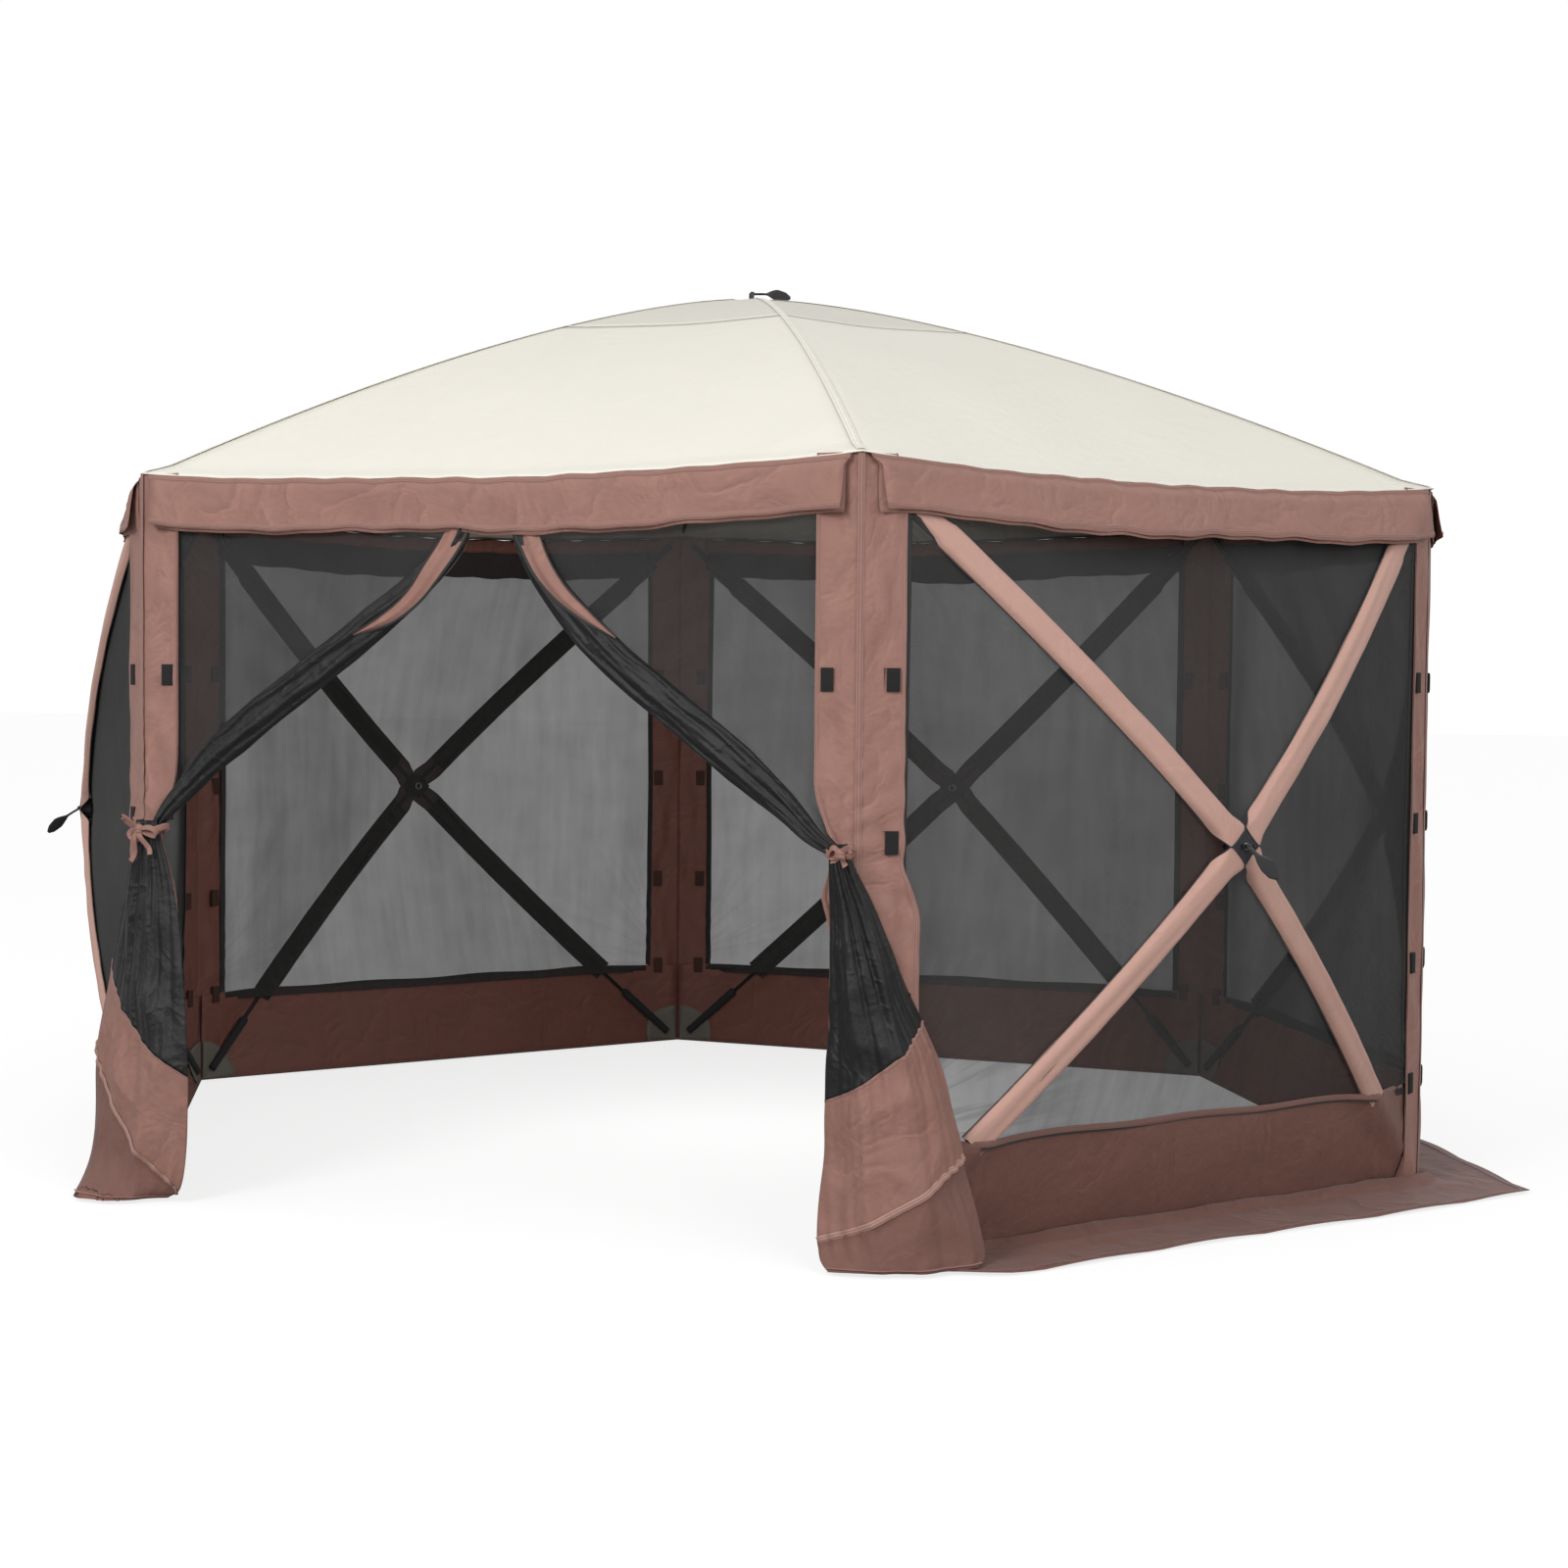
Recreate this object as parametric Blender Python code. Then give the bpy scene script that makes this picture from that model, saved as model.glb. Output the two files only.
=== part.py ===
"""Six-sided pop-up screen house: hub-framed mesh walls, a sprung roof and a door wall tied back."""

import math

import bmesh
import bpy
from mathutils import Vector

# Overall sizes, metres. The door wall faces -Y and the ground is z = 0.
CORNER_R = 1.800
APOTHEM = CORNER_R * math.cos(math.pi / 6)
HALF = CORNER_R / 2
EAVE_Z = 1.730
APEX_Z = 2.290
HUB_Z = 0.885
BOW = 0.250
WALL_POWER = 1.6
ROOF_POWER = 1.44
BAND_Z = 0.265
VALANCE_H = 0.158
SKIRT_W = 0.260
CROWN_T = 0.340

# Fabric and rod sections
CLOTH = 0.0020
MESH_OFF = -0.014
BAND_OFF = 0.011
EDGE_GAP = 0.012
FOOT_GAP = 0.005
POST_OFF = 0.018
VALANCE_OFF = 0.028
POST_W = 0.090
ROD_R = 0.0055
ROD_SIDES = 6
TIP_GAP = 0.060
ROOF_DROP = 0.016

# Hub sections
HUB_R = 0.036
HUB_T = 0.024
ROOF_HUB_R = 0.045
PIN_AT = 0.026
ROOF_PIN_AT = 0.032
PIN_R = 0.0026
EYE_R = 0.0032
SLOT_W = 0.0090
TANG_HALF = 0.0036
STRAP_L = 0.110
STRAP_DROOP = math.radians(38)
WALL_BAR = 0.010

# The door flaps' foot spreads as far forward as the rear wall's strap reaches back
FRONT_REACH = BOW + HUB_T / 2 + WALL_BAR + STRAP_L * math.cos(STRAP_DROOP) + 0.0006

CORNERS = {"a": 240, "b": 300, "c": 0, "d": 60, "e": 120, "f": 180}
WALLS = {1: (330, "b", "c"), 2: (30, "c", "d"), 3: (90, "d", "e"), 4: (150, "e", "f"), 5: (210, "f", "a")}
SPOKES = {"tl": (-1, 1), "tr": (1, 1), "bl": (-1, -1), "br": (1, -1)}


def clear_scene():
    for item in list(bpy.data.objects):
        bpy.data.objects.remove(item, do_unlink=True)


def material(name, colour, rough, metal=0.0):
    found = bpy.data.materials.new(name)
    found.use_nodes = True
    shader = found.node_tree.nodes["Principled BSDF"]
    shader.inputs["Base Color"].default_value = (*colour, 1.0)
    shader.inputs["Roughness"].default_value = rough
    shader.inputs["Metallic"].default_value = metal
    return found


def roof_cloth():
    return material("roof_cloth", (0.80, 0.77, 0.66), 0.75)


def crown_cloth():
    return material("crown_cloth", (0.74, 0.72, 0.63), 0.75)


def shell_cloth():
    return material("shell_cloth", (0.30, 0.15, 0.12), 0.85)


def screen_mesh():
    return material("screen_mesh", (0.03, 0.03, 0.03), 0.80)


def rod_finish():
    return material("rod_finish", (0.05, 0.05, 0.05), 0.45)


def hub_plastic():
    return material("hub_plastic", (0.02, 0.02, 0.02), 0.50)


def strap_webbing():
    return material("strap_webbing", (0.025, 0.025, 0.025), 0.80)


def make(name, verts, faces, finish, smooth=False):
    mesh = bpy.data.meshes.new(name)
    mesh.from_pydata([tuple(v) for v in verts], [], [tuple(f) for f in faces])
    work = bmesh.new()
    work.from_mesh(mesh)
    bmesh.ops.recalc_face_normals(work, faces=work.faces)
    work.to_mesh(mesh)
    work.free()
    mesh.materials.append(finish)
    for face in mesh.polygons:
        face.use_smooth = smooth
    thing = bpy.data.objects.new(name, mesh)
    bpy.context.scene.collection.objects.link(thing)
    return thing


def thick(name, outer, inner, faces, finish):
    """A closed sheet from its two sides, with the edge walls added."""
    count = len(outer)
    edges = {}
    for face in faces:
        for i, first in enumerate(face):
            pair = (first, face[(i + 1) % len(face)])
            edges[pair] = edges.get(pair, 0) + 1
    solid = [list(face) for face in faces]
    solid += [[v + count for v in reversed(face)] for face in faces]
    for first, last in edges:
        if (last, first) not in edges:
            solid.append([last, first, first + count, last + count])
    return make(name, list(outer) + list(inner), solid, finish)


def cutter(thing):
    thing.hide_render = True
    thing.display_type = "WIRE"


def boolean(thing, tool, how):
    step = thing.modifiers.new(how.lower(), "BOOLEAN")
    step.operation = how
    step.solver = "EXACT"
    step.object = tool
    cutter(tool)


def bake(thing):
    """Fixes a stack of modifiers as plain mesh, and drops the tools it used."""
    tools = [step.object for step in thing.modifiers if step.type == "BOOLEAN"]
    seen = thing.evaluated_get(bpy.context.evaluated_depsgraph_get())
    mesh = bpy.data.meshes.new_from_object(seen)
    thing.modifiers.clear()
    thing.data = mesh
    for tool in tools:
        bpy.data.objects.remove(tool, do_unlink=True)


def spin(degrees):
    turn = math.radians(degrees)
    return Vector((math.cos(turn), math.sin(turn), 0.0))


def corner_at(key, offset=0.0, z=0.0):
    """A point on a corner line, moved out so that both its walls are offset by the same amount."""
    return spin(CORNERS[key]) * (CORNER_R + offset / math.cos(math.pi / 6)) + Vector((0, 0, z))


def reach(s, z):
    """How far out from the hub a wall point is: 0 at the hub and 1 on the wall's edges."""
    up = (z - HUB_Z) / (EAVE_Z - HUB_Z) if z > HUB_Z else (HUB_Z - z) / HUB_Z
    return min(1.0, max(abs(s) / HALF, up))


def bulge(s, z):
    return BOW * (1.0 - reach(s, z) ** WALL_POWER)


def wall_point(angle, s, z, offset=0.0, bowed=True):
    normal = spin(angle)
    side = spin(angle + 90)
    out = APOTHEM + offset + (bulge(s, z) if bowed else 0.0)
    return normal * out + side * s + Vector((0, 0, z))


def wall_sheet(name, angle, points, faces, offset, finish, bowed=True, thickness=CLOTH):
    outer = [wall_point(angle, s, z, offset + thickness / 2, bowed) for s, z in points]
    inner = [wall_point(angle, s, z, offset - thickness / 2, bowed) for s, z in points]
    return thick(name, outer, inner, faces, finish)


def ring_corners(t, low=None):
    """The four points of one level rectangle of the bowed wall, cut off below a height."""
    wide = (HALF - EDGE_GAP) * t
    top = HUB_Z + (EAVE_Z - HUB_Z - EDGE_GAP) * t
    bottom = HUB_Z - (HUB_Z - FOOT_GAP) * t
    floor = bottom if low is None else max(low, bottom)
    return [(-wide, floor), (wide, floor), (wide, top), (-wide, top)]


def wall_mesh(number):
    """The black screen of one wall, above the band, with an opening for the hub."""
    angle = WALLS[number][0]
    low = BAND_Z - 0.020
    switch = (HUB_Z - low) / (HUB_Z - FOOT_GAP)
    steps = [0.058, 0.16, 0.28, 0.41, 0.53, 0.64, switch, 0.82, 0.91, 1.0]
    points = []
    faces = []
    for t in steps:
        points += ring_corners(t, low)
    for i in range(len(steps) - 1):
        a, b = 4 * i, 4 * i + 4
        sides = (1, 2, 3) if steps[i] >= switch - 1e-9 else (0, 1, 2, 3)
        for k in sides:
            j = (k + 1) % 4
            faces.append((a + k, b + k, b + j, a + j))
    wall_sheet(f"wall_mesh_{number}", angle, points, faces, MESH_OFF, screen_mesh())


def wall_band(number):
    """The heavy cloth along the foot of one wall."""
    angle = WALLS[number][0]
    first = (HUB_Z - BAND_Z) / (HUB_Z - FOOT_GAP)
    steps = [first, 0.80, 0.90, 1.0]
    points = []
    for t in steps:
        left, right, _, _ = ring_corners(t)
        points += [left, right, (right[0], BAND_Z), (left[0], BAND_Z)]
    faces = [(4, 5, 1, 0), (1, 5, 6), (0, 7, 4)]
    for i in range(1, len(steps) - 1):
        a, b = 4 * i, 4 * i + 4
        faces += [(b, b + 1, a + 1, a), (b + 1, b + 2, a + 2, a + 1), (b + 3, b, a, a + 3)]
    used = sorted({v for face in faces for v in face})
    index = {v: i for i, v in enumerate(used)}
    faces = [tuple(index[v] for v in face) for face in faces]
    points = [points[v] for v in used]
    wall_sheet(f"wall_band_{number}", angle, points, faces, BAND_OFF, shell_cloth())


def corner_post(key):
    """A strip of heavy cloth folded over one corner, from the ground to the eave."""
    before = {"a": None, "b": 1, "c": 2, "d": 3, "e": 4, "f": 5}[key]
    after = {"a": 5, "b": None, "c": 1, "d": 2, "e": 3, "f": 4}[key]
    top = EAVE_Z - 0.032
    foot = 0.006
    low = HUB_Z * POST_W / HALF
    high = EAVE_Z - (EAVE_Z - HUB_Z) * POST_W / HALF
    levels = [foot, low, 0.45, HUB_Z, 1.30, high, top]
    sides = []
    for offset in (POST_OFF + CLOTH / 2, POST_OFF - CLOTH / 2):
        points = []
        for z in levels:
            for number, sign in ((after, 1), (before, -1)):
                angle = 270 if number is None else WALLS[number][0]
                edge = sign * (HALF - POST_W)
                points.append(wall_point(angle, edge, z, offset, number is not None))
            points.append(corner_at(key, offset, z))
        sides.append(points)
    faces = []
    for i in range(len(levels) - 1):
        a, b = 3 * i, 3 * i + 3
        for arm in (0, 1):
            quad = (a + arm, a + 2, b + 2, b + arm)
            if i == 0:
                parts = [(quad[0], quad[1], quad[3]), (quad[1], quad[2], quad[3])]
            elif i == len(levels) - 2:
                parts = [(quad[0], quad[1], quad[2]), (quad[0], quad[2], quad[3])]
            else:
                parts = [quad]
            faces += [tuple(reversed(p)) if arm else p for p in parts]
    thick(f"corner_post_{key}", sides[0], sides[1], faces, shell_cloth())


def roof_height(t):
    return EAVE_Z + (APEX_Z - EAVE_Z) * (1.0 - t**ROOF_POWER)


def roof_sheet(name, steps, finish, edge=0.0):
    """Part of the six-gore roof between two level rings."""
    sides = []
    for lift in (CLOTH / 2, -CLOTH / 2):
        points = []
        for t in steps:
            grown = CORNER_R * t + (edge if t == 1.0 else 0.0)
            for degrees in range(0, 360, 60):
                points.append(spin(degrees) * grown + Vector((0, 0, roof_height(t) + lift)))
        sides.append(points)
    faces = []
    for i in range(len(steps) - 1):
        a, b = 6 * i, 6 * i + 6
        for k in range(6):
            j = (k + 1) % 6
            faces.append((a + k, b + k, b + j, a + j))
    thick(name, sides[0], sides[1], faces, finish)


def roof_canopy():
    steps = [CROWN_T + 0.001, 0.46, 0.58, 0.70, 0.82, 0.92, 1.0]
    roof_sheet("roof_canopy", steps, roof_cloth(), 0.028)


def roof_crown():
    roof_sheet("roof_crown", [0.030, 0.09, 0.17, 0.25, CROWN_T - 0.001], crown_cloth())


def roof_valance():
    """The hanging strips round the eave, one to a side, open at each corner below the hem."""
    levels = [EAVE_Z - 0.003, EAVE_Z - 0.028, EAVE_Z - 0.088, EAVE_Z - VALANCE_H]
    reach_low = HALF * (levels[3] - HUB_Z) / (EAVE_Z - HUB_Z)
    stops = [-(HALF - 0.022), -0.812, -reach_low, 0.0, reach_low, 0.812, HALF - 0.022]
    walls = [(270, False), (330, True), (30, True), (90, True), (150, True), (210, True)]
    sides = []
    for offset in (VALANCE_OFF + 0.003 + CLOTH / 2, VALANCE_OFF + 0.003 - CLOTH / 2):
        points = []
        for angle, bowed in walls:
            start = spin(angle - 30) * (CORNER_R + offset / math.cos(math.pi / 6))
            points += [start + Vector((0, 0, levels[0])), start + Vector((0, 0, levels[1]))]
            for s in stops:
                points.append(wall_point(angle, s, levels[0], offset, False))
                points += [wall_point(angle, s, z, offset, bowed) for z in levels[1:]]
        sides.append(points)
    each = 2 + 4 * len(stops)
    faces = []
    for w in range(6):
        base = w * each
        following = ((w + 1) % 6) * each
        faces.append((base, base + 1, base + 3, base + 2))
        for i in range(len(stops) - 1):
            a = base + 2 + 4 * i
            b = a + 4
            faces += [(a, a + 1, b + 1, b), (a + 2, a + 3, b + 3, b + 2)]
            if i == 0:
                faces += [(a + 1, a + 2, b + 2), (a + 1, b + 2, b + 1)]
            else:
                faces += [(a + 1, a + 2, b + 1), (a + 2, b + 2, b + 1)]
        last = base + 2 + 4 * (len(stops) - 1)
        faces.append((last, last + 1, following + 1, following))
    thick("roof_valance", sides[0], sides[1], faces, shell_cloth())


def ground_skirt():
    """The flap that lies on the ground outside the five framed walls."""
    order = ["b", "c", "d", "e", "f", "a"]
    sides = []
    for z in (0.0035, 0.0):
        points = []
        for key in order:
            points.append(corner_at(key, 0.003, z))
            points.append(corner_at(key, SKIRT_W, z))
        first = WALLS[1][0]
        last = WALLS[5][0]
        points[1] = spin(first) * (APOTHEM + SKIRT_W) - spin(first + 90) * HALF + Vector((0, 0, z))
        points[11] = spin(last) * (APOTHEM + SKIRT_W) + spin(last + 90) * HALF + Vector((0, 0, z))
        sides.append(points)
    faces = [(2 * i, 2 * i + 1, 2 * i + 3, 2 * i + 2) for i in range(5)]
    thick("ground_skirt", sides[0], sides[1], faces, shell_cloth())


def tube(name, path, radii, finish, sides=8, across=Vector((0, 1, 0)), flats=None):
    """A rod along a path whose sections lie square to it. flats gives each section's two half sizes."""
    points = []
    count = len(path)
    for i in range(count):
        ahead = path[min(i + 1, count - 1)] - path[max(i - 1, 0)]
        along = ahead.normalized()
        wide = (across - along * across.dot(along)).normalized()
        deep = along.cross(wide)
        size = flats[i] if flats else (radii[i], radii[i])
        for k in range(sides):
            turn = 2 * math.pi * (k + 0.5) / sides
            points.append(path[i] + wide * (size[0] * math.cos(turn)) + deep * (size[1] * math.sin(turn)))
    faces = [tuple(range(sides)), tuple(range((count - 1) * sides, count * sides))]
    for i in range(count - 1):
        for k in range(sides):
            j = (k + 1) % sides
            faces.append((i * sides + k, i * sides + j, (i + 1) * sides + j, (i + 1) * sides + k))
    return make(name, points, faces, finish, True)


def cylinder(name, centre, axis, radius, length, finish, sides=12):
    side = axis.orthogonal()
    path = [centre - axis * (length / 2), centre + axis * (length / 2)]
    return tube(name, path, [radius, radius], finish, sides, side)


def block(name, centre, axes, sizes, finish):
    """A box from its centre, three square directions and its full sizes."""
    points = []
    for z in (-0.5, 0.5):
        for y in (-0.5, 0.5):
            for x in (-0.5, 0.5):
                points.append(centre + axes[0] * (x * sizes[0]) + axes[1] * (y * sizes[1]) + axes[2] * (z * sizes[2]))
    faces = [(0, 1, 3, 2), (4, 6, 7, 5), (0, 4, 5, 1), (2, 3, 7, 6), (0, 2, 6, 4), (1, 5, 7, 3)]
    return make(name, points, faces, finish)


def spoke_line(angle, spot):
    """A wall pole's direction in the plane of its wall, and the hub's centre."""
    right, up = SPOKES[spot]
    rise = (EAVE_Z - HUB_Z) if up > 0 else -HUB_Z
    along = (spin(angle + 90) * (right * HALF) + Vector((0, 0, rise)))
    hub = wall_point(angle, 0.0, HUB_Z, BOW, False)
    return hub, along.normalized(), along.length


def pole_path(centre, along, out, span, pin, profile, stop):
    """Points from the eye at the hub to the tip, bowed out of the plane."""
    path = []
    flats = []
    for d, size in ((pin - 0.0050, (TANG_HALF, 0.0030)), (pin - 0.0030, (TANG_HALF, 0.0048))):
        path.append(centre + along * d)
        flats.append(size)
    path.append(centre + along * (pin + 0.014))
    flats.append((TANG_HALF, 0.0048))
    path.append(centre + along * (pin + 0.018) + out * profile((pin + 0.018) / span))
    flats.append((ROD_R, ROD_R))
    marks = 7
    start = (pin + 0.018) / span
    for i in range(1, marks + 1):
        t = start + (stop - start) * i / marks
        path.append(centre + along * (t * span) + out * profile(t))
        flats.append((ROD_R, ROD_R))
    path.append(centre + along * (stop * span + 0.004) + out * profile(stop + 0.004 / span))
    flats.append((ROD_R * 0.55, ROD_R * 0.55))
    return path, flats


def eyed_pole(name, centre, along, out, span, pin, profile, stop):
    path, flats = pole_path(centre, along, out, span, pin, profile, stop)
    across = along.cross(out)
    pole = tube(name, path, None, rod_finish(), ROD_SIDES, across, flats)
    eye = cylinder(f"cut_{name}", centre + along * pin, across, EYE_R, 0.03, rod_finish(), 8)
    boolean(pole, eye, "DIFFERENCE")
    bake(pole)
    anchor(pole, centre + along * pin)


def anchor(thing, place):
    """Puts an object's origin on its joint axis without moving its surface."""
    for vertex in thing.data.vertices:
        vertex.co -= place
    thing.location = place


def wall_pole(number, spot):
    hub, along, span = spoke_line(WALLS[number][0], spot)
    stop = 1.0 - TIP_GAP / span
    eyed_pole(
        f"wall_pole_{number}_{spot}",
        hub,
        along,
        spin(WALLS[number][0]),
        span,
        PIN_AT,
        lambda t: -BOW * t**WALL_POWER,
        stop,
    )


def roof_pole(key):
    centre = Vector((0, 0, APEX_Z - ROOF_DROP))
    rise = APEX_Z - EAVE_Z
    stop = 1.0 - TIP_GAP / CORNER_R
    eyed_pole(
        f"roof_pole_{key}",
        centre,
        spin(CORNERS[key]),
        Vector((0, 0, 1)),
        CORNER_R,
        ROOF_PIN_AT,
        lambda t: -rise * t**ROOF_POWER,
        stop,
    )


def hub_body(name, centre, out, arms, radius, pin, strap_side, tall):
    """A round hub with a slot and a cross pin for each pole, and a bar for its pull strap."""
    finish = hub_plastic()
    body = cylinder(name, centre, out, radius, HUB_T, finish, 20)
    for i, along in enumerate(arms):
        across = along.cross(out)
        inner = pin - 0.010
        length = radius + 0.01 - inner
        middle = centre + along * (inner + length / 2)
        slot = block(f"slot_{name}_{i}", middle, (along, across, out), (length, SLOT_W, 0.06), finish)
        boolean(body, slot, "DIFFERENCE")
    for i, along in enumerate(arms):
        across = along.cross(out)
        pin_bar = cylinder(f"pin_{name}_{i}", centre + along * pin, across, PIN_R, 0.016, finish, 8)
        boolean(body, pin_bar, "UNION")
    ahead = strap_side.cross(out)
    base = centre + out * (HUB_T / 2)
    for i, side in enumerate((-0.0155, 0.0155)):
        lug = block(
            f"lug_{name}_{i}",
            base + strap_side * side + out * (tall / 2 - 0.002),
            (strap_side, ahead, out),
            (0.004, 0.010, tall + 0.004),
            finish,
        )
        boolean(body, lug, "UNION")
    bar = cylinder(f"bar_{name}", base + out * (tall - 0.004), strap_side, 0.0020, 0.031, finish, 8)
    boolean(body, bar, "UNION")
    return body


def pull_strap(name, pivot, side, reach_way, lift):
    """A leaf of webbing on a loop round the hub's bar."""
    finish = strap_webbing()
    loop = cylinder(name, pivot, side, 0.0050, 0.024, finish, 12)
    eye = cylinder(f"eye_{name}", pivot, side, 0.0026, 0.05, finish, 8)
    outline = [(0.003, 0.010), (0.020, 0.012), (0.060, 0.016), (0.095, 0.014), (STRAP_L, 0.007)]
    points = []
    for depth in (-0.001, 0.001):
        for d, w in outline:
            points.append(pivot + reach_way * d - side * w + lift * depth)
        for d, w in reversed(outline):
            points.append(pivot + reach_way * d + side * w + lift * depth)
    count = 2 * len(outline)
    faces = [tuple(range(count)), tuple(range(count, 2 * count))]
    for i in range(count):
        j = (i + 1) % count
        faces.append((i, j, j + count, i + count))
    leaf = make(f"leaf_{name}", points, faces, finish)
    boolean(loop, leaf, "UNION")
    boolean(loop, eye, "DIFFERENCE")
    bake(loop)
    anchor(loop, pivot)


def wall_hub(number):
    angle = WALLS[number][0]
    out = spin(angle)
    side = spin(angle + 90)
    arms = [spoke_line(angle, spot)[1] for spot in SPOKES]
    centre = wall_point(angle, 0.0, HUB_Z, BOW, False)
    body = hub_body(f"wall_hub_{number}", centre, out, arms, HUB_R, PIN_AT, side, 0.014)
    bake(body)
    anchor(body, centre)
    pivot = centre + out * (HUB_T / 2 + WALL_BAR)
    way = out * math.cos(STRAP_DROOP) - Vector((0, 0, math.sin(STRAP_DROOP)))
    lift = out * math.sin(STRAP_DROOP) + Vector((0, 0, math.cos(STRAP_DROOP)))
    pull_strap(f"wall_strap_{number}", pivot, side, way, lift)


def roof_hub():
    centre = Vector((0, 0, APEX_Z - ROOF_DROP))
    out = Vector((0, 0, 1))
    arms = [spin(CORNERS[key]) for key in CORNERS]
    side = spin(120)
    body = hub_body("roof_hub", centre, out, arms, ROOF_HUB_R, ROOF_PIN_AT, side, 0.024)
    bake(body)
    anchor(body, centre)
    pivot = centre + out * (HUB_T / 2 + 0.020)
    droop = math.radians(5)
    way = spin(30) * math.cos(droop) - Vector((0, 0, math.sin(droop)))
    lift = spin(30) * math.sin(droop) + Vector((0, 0, math.cos(droop)))
    pull_strap("roof_strap", pivot, side, way, lift)


def drape_row(key, hand, z, toward_door, toward_wall, wave, gap, half):
    """One level of the gathered curtain, folded round its corner: its outer or inner line."""
    number = 1 if key == "b" else 5
    wall_angle = WALLS[number][0]
    row = []
    marks = 6
    for i in range(marks):
        back = toward_door * (1 - i / marks)
        ripple = wave * (1 if i % 2 else -1)
        s = hand * (HALF - back)
        row.append(wall_point(270, s, z, gap + ripple + half, False))
    row.append(corner_at(key, gap + wave + half, z))
    for i in range(1, marks + 1):
        along = toward_wall * i / marks
        ripple = wave * (1 if i % 2 else -1)
        s = -hand * (HALF - along)
        row.append(wall_point(wall_angle, s, z, gap + ripple + half, True))
    return row


def door_curtain(label, key, hand):
    """One door flap: sheer upper part, rolled edge, tie at the post and the gathered fall below it."""
    finish = shell_cloth()
    roll_line = [(0.055, 1.680), (0.12, 1.55), (0.20, 1.42), (0.41, 1.21), (0.53, 1.12), (0.71, 0.985)]
    upper = [(0.045, 1.690), *roll_line[1:], (0.790, 0.930), (0.790, 1.690)]
    points = [(hand * x, z) for x, z in upper]
    name = f"door_curtain_{label}"
    face = tuple(range(len(points))) if hand > 0 else tuple(reversed(range(len(points))))
    sheet = wall_sheet(f"sheer_{name}", 270, points, [face], 0.006, finish, False)
    path = [wall_point(270, hand * x, z, 0.012, False) for x, z in roll_line]
    path += [wall_point(270, hand * x, z, o, False) for x, z, o in ((0.80, 0.925, 0.050), (0.878, 0.885, 0.062))]
    radii = [0.010, 0.017, 0.020, 0.022, 0.023, 0.025, 0.027, 0.024]
    roll = tube(f"roll_{name}", path, radii, finish, 8, Vector((0, 1, 0)))
    levels = [
        (0.900, 0.020, 0.020, 0.002, 0.050, 0.018),
        (0.800, 0.050, 0.075, 0.004, 0.050, 0.010),
        (0.600, 0.060, 0.150, 0.008, 0.050, 0.007),
        (0.400, 0.070, 0.215, 0.010, 0.058, 0.005),
        (0.200, 0.085, 0.280, 0.012, 0.085, 0.005),
        (0.060, 0.100, 0.330, 0.014, 0.150, 0.005),
        (0.012, 0.110, 0.350, 0.010, FRONT_REACH - 0.014, 0.004),
    ]
    rows = []
    for z, door_side, wall_side, wave, gap, half in levels:
        outer = drape_row(key, hand, z, door_side, wall_side, wave, gap, half)
        inner = drape_row(key, hand, z, door_side, wall_side, wave, gap, -half)
        rows.append(outer + list(reversed(inner)))
    count = len(rows[0])
    verts = [v for row in rows for v in row]
    faces = []
    for i in range(len(rows) - 1):
        for k in range(count):
            j = (k + 1) % count
            faces.append((i * count + k, i * count + j, (i + 1) * count + j, (i + 1) * count + k))
    half_count = count // 2
    for base in (0, (len(rows) - 1) * count):
        for k in range(half_count - 1):
            faces.append((base + k, base + k + 1, base + count - 2 - k, base + count - 1 - k))
    fall = make(name, verts, faces, finish)
    knot = cylinder(f"knot_{name}", corner_at(key, 0.052, 0.885), Vector((0, 0, 1)), 0.034, 0.07, finish, 10)
    boolean(fall, knot, "UNION")
    boolean(fall, roll, "UNION")
    boolean(fall, sheet, "UNION")
    bake(fall)


def main():
    clear_scene()
    roof_canopy()
    roof_crown()
    roof_valance()
    ground_skirt()
    for key in CORNERS:
        corner_post(key)
        roof_pole(key)
    for number in WALLS:
        wall_mesh(number)
        wall_band(number)
        wall_hub(number)
        for spot in SPOKES:
            wall_pole(number, spot)
    roof_hub()
    door_curtain("left", "a", -1)
    door_curtain("right", "b", 1)


main()
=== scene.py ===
"""Looks of the six-sided screen house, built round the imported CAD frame."""
import math

import bpy
import bmesh
import numpy as np
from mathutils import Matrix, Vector


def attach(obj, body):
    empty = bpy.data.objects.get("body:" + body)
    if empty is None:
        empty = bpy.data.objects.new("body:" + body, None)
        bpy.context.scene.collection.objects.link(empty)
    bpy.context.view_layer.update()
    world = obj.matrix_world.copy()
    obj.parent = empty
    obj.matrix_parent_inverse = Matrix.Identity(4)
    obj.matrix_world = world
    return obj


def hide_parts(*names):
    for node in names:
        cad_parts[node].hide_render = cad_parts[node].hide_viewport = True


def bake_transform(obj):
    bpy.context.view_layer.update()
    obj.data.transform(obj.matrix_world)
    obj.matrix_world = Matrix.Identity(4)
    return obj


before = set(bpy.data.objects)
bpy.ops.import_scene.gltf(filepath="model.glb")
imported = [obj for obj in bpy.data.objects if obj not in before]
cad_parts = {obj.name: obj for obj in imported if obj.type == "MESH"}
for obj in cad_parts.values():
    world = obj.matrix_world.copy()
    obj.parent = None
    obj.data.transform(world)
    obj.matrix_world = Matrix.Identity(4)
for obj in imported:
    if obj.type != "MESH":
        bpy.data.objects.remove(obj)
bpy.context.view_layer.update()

# ---------------------------------------------------------------- sizes, as the CAD has them
R = 1.800
AP = R * math.cos(math.pi / 6)
HALF = R / 2
EAVE = 1.730
APEX = 2.290
HUB_Z = 0.885
BOW = 0.250
WALL_POW, ROOF_POW = 1.6, 1.44
BAND_Z = 0.265
KNOT_Z = 0.885
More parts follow.
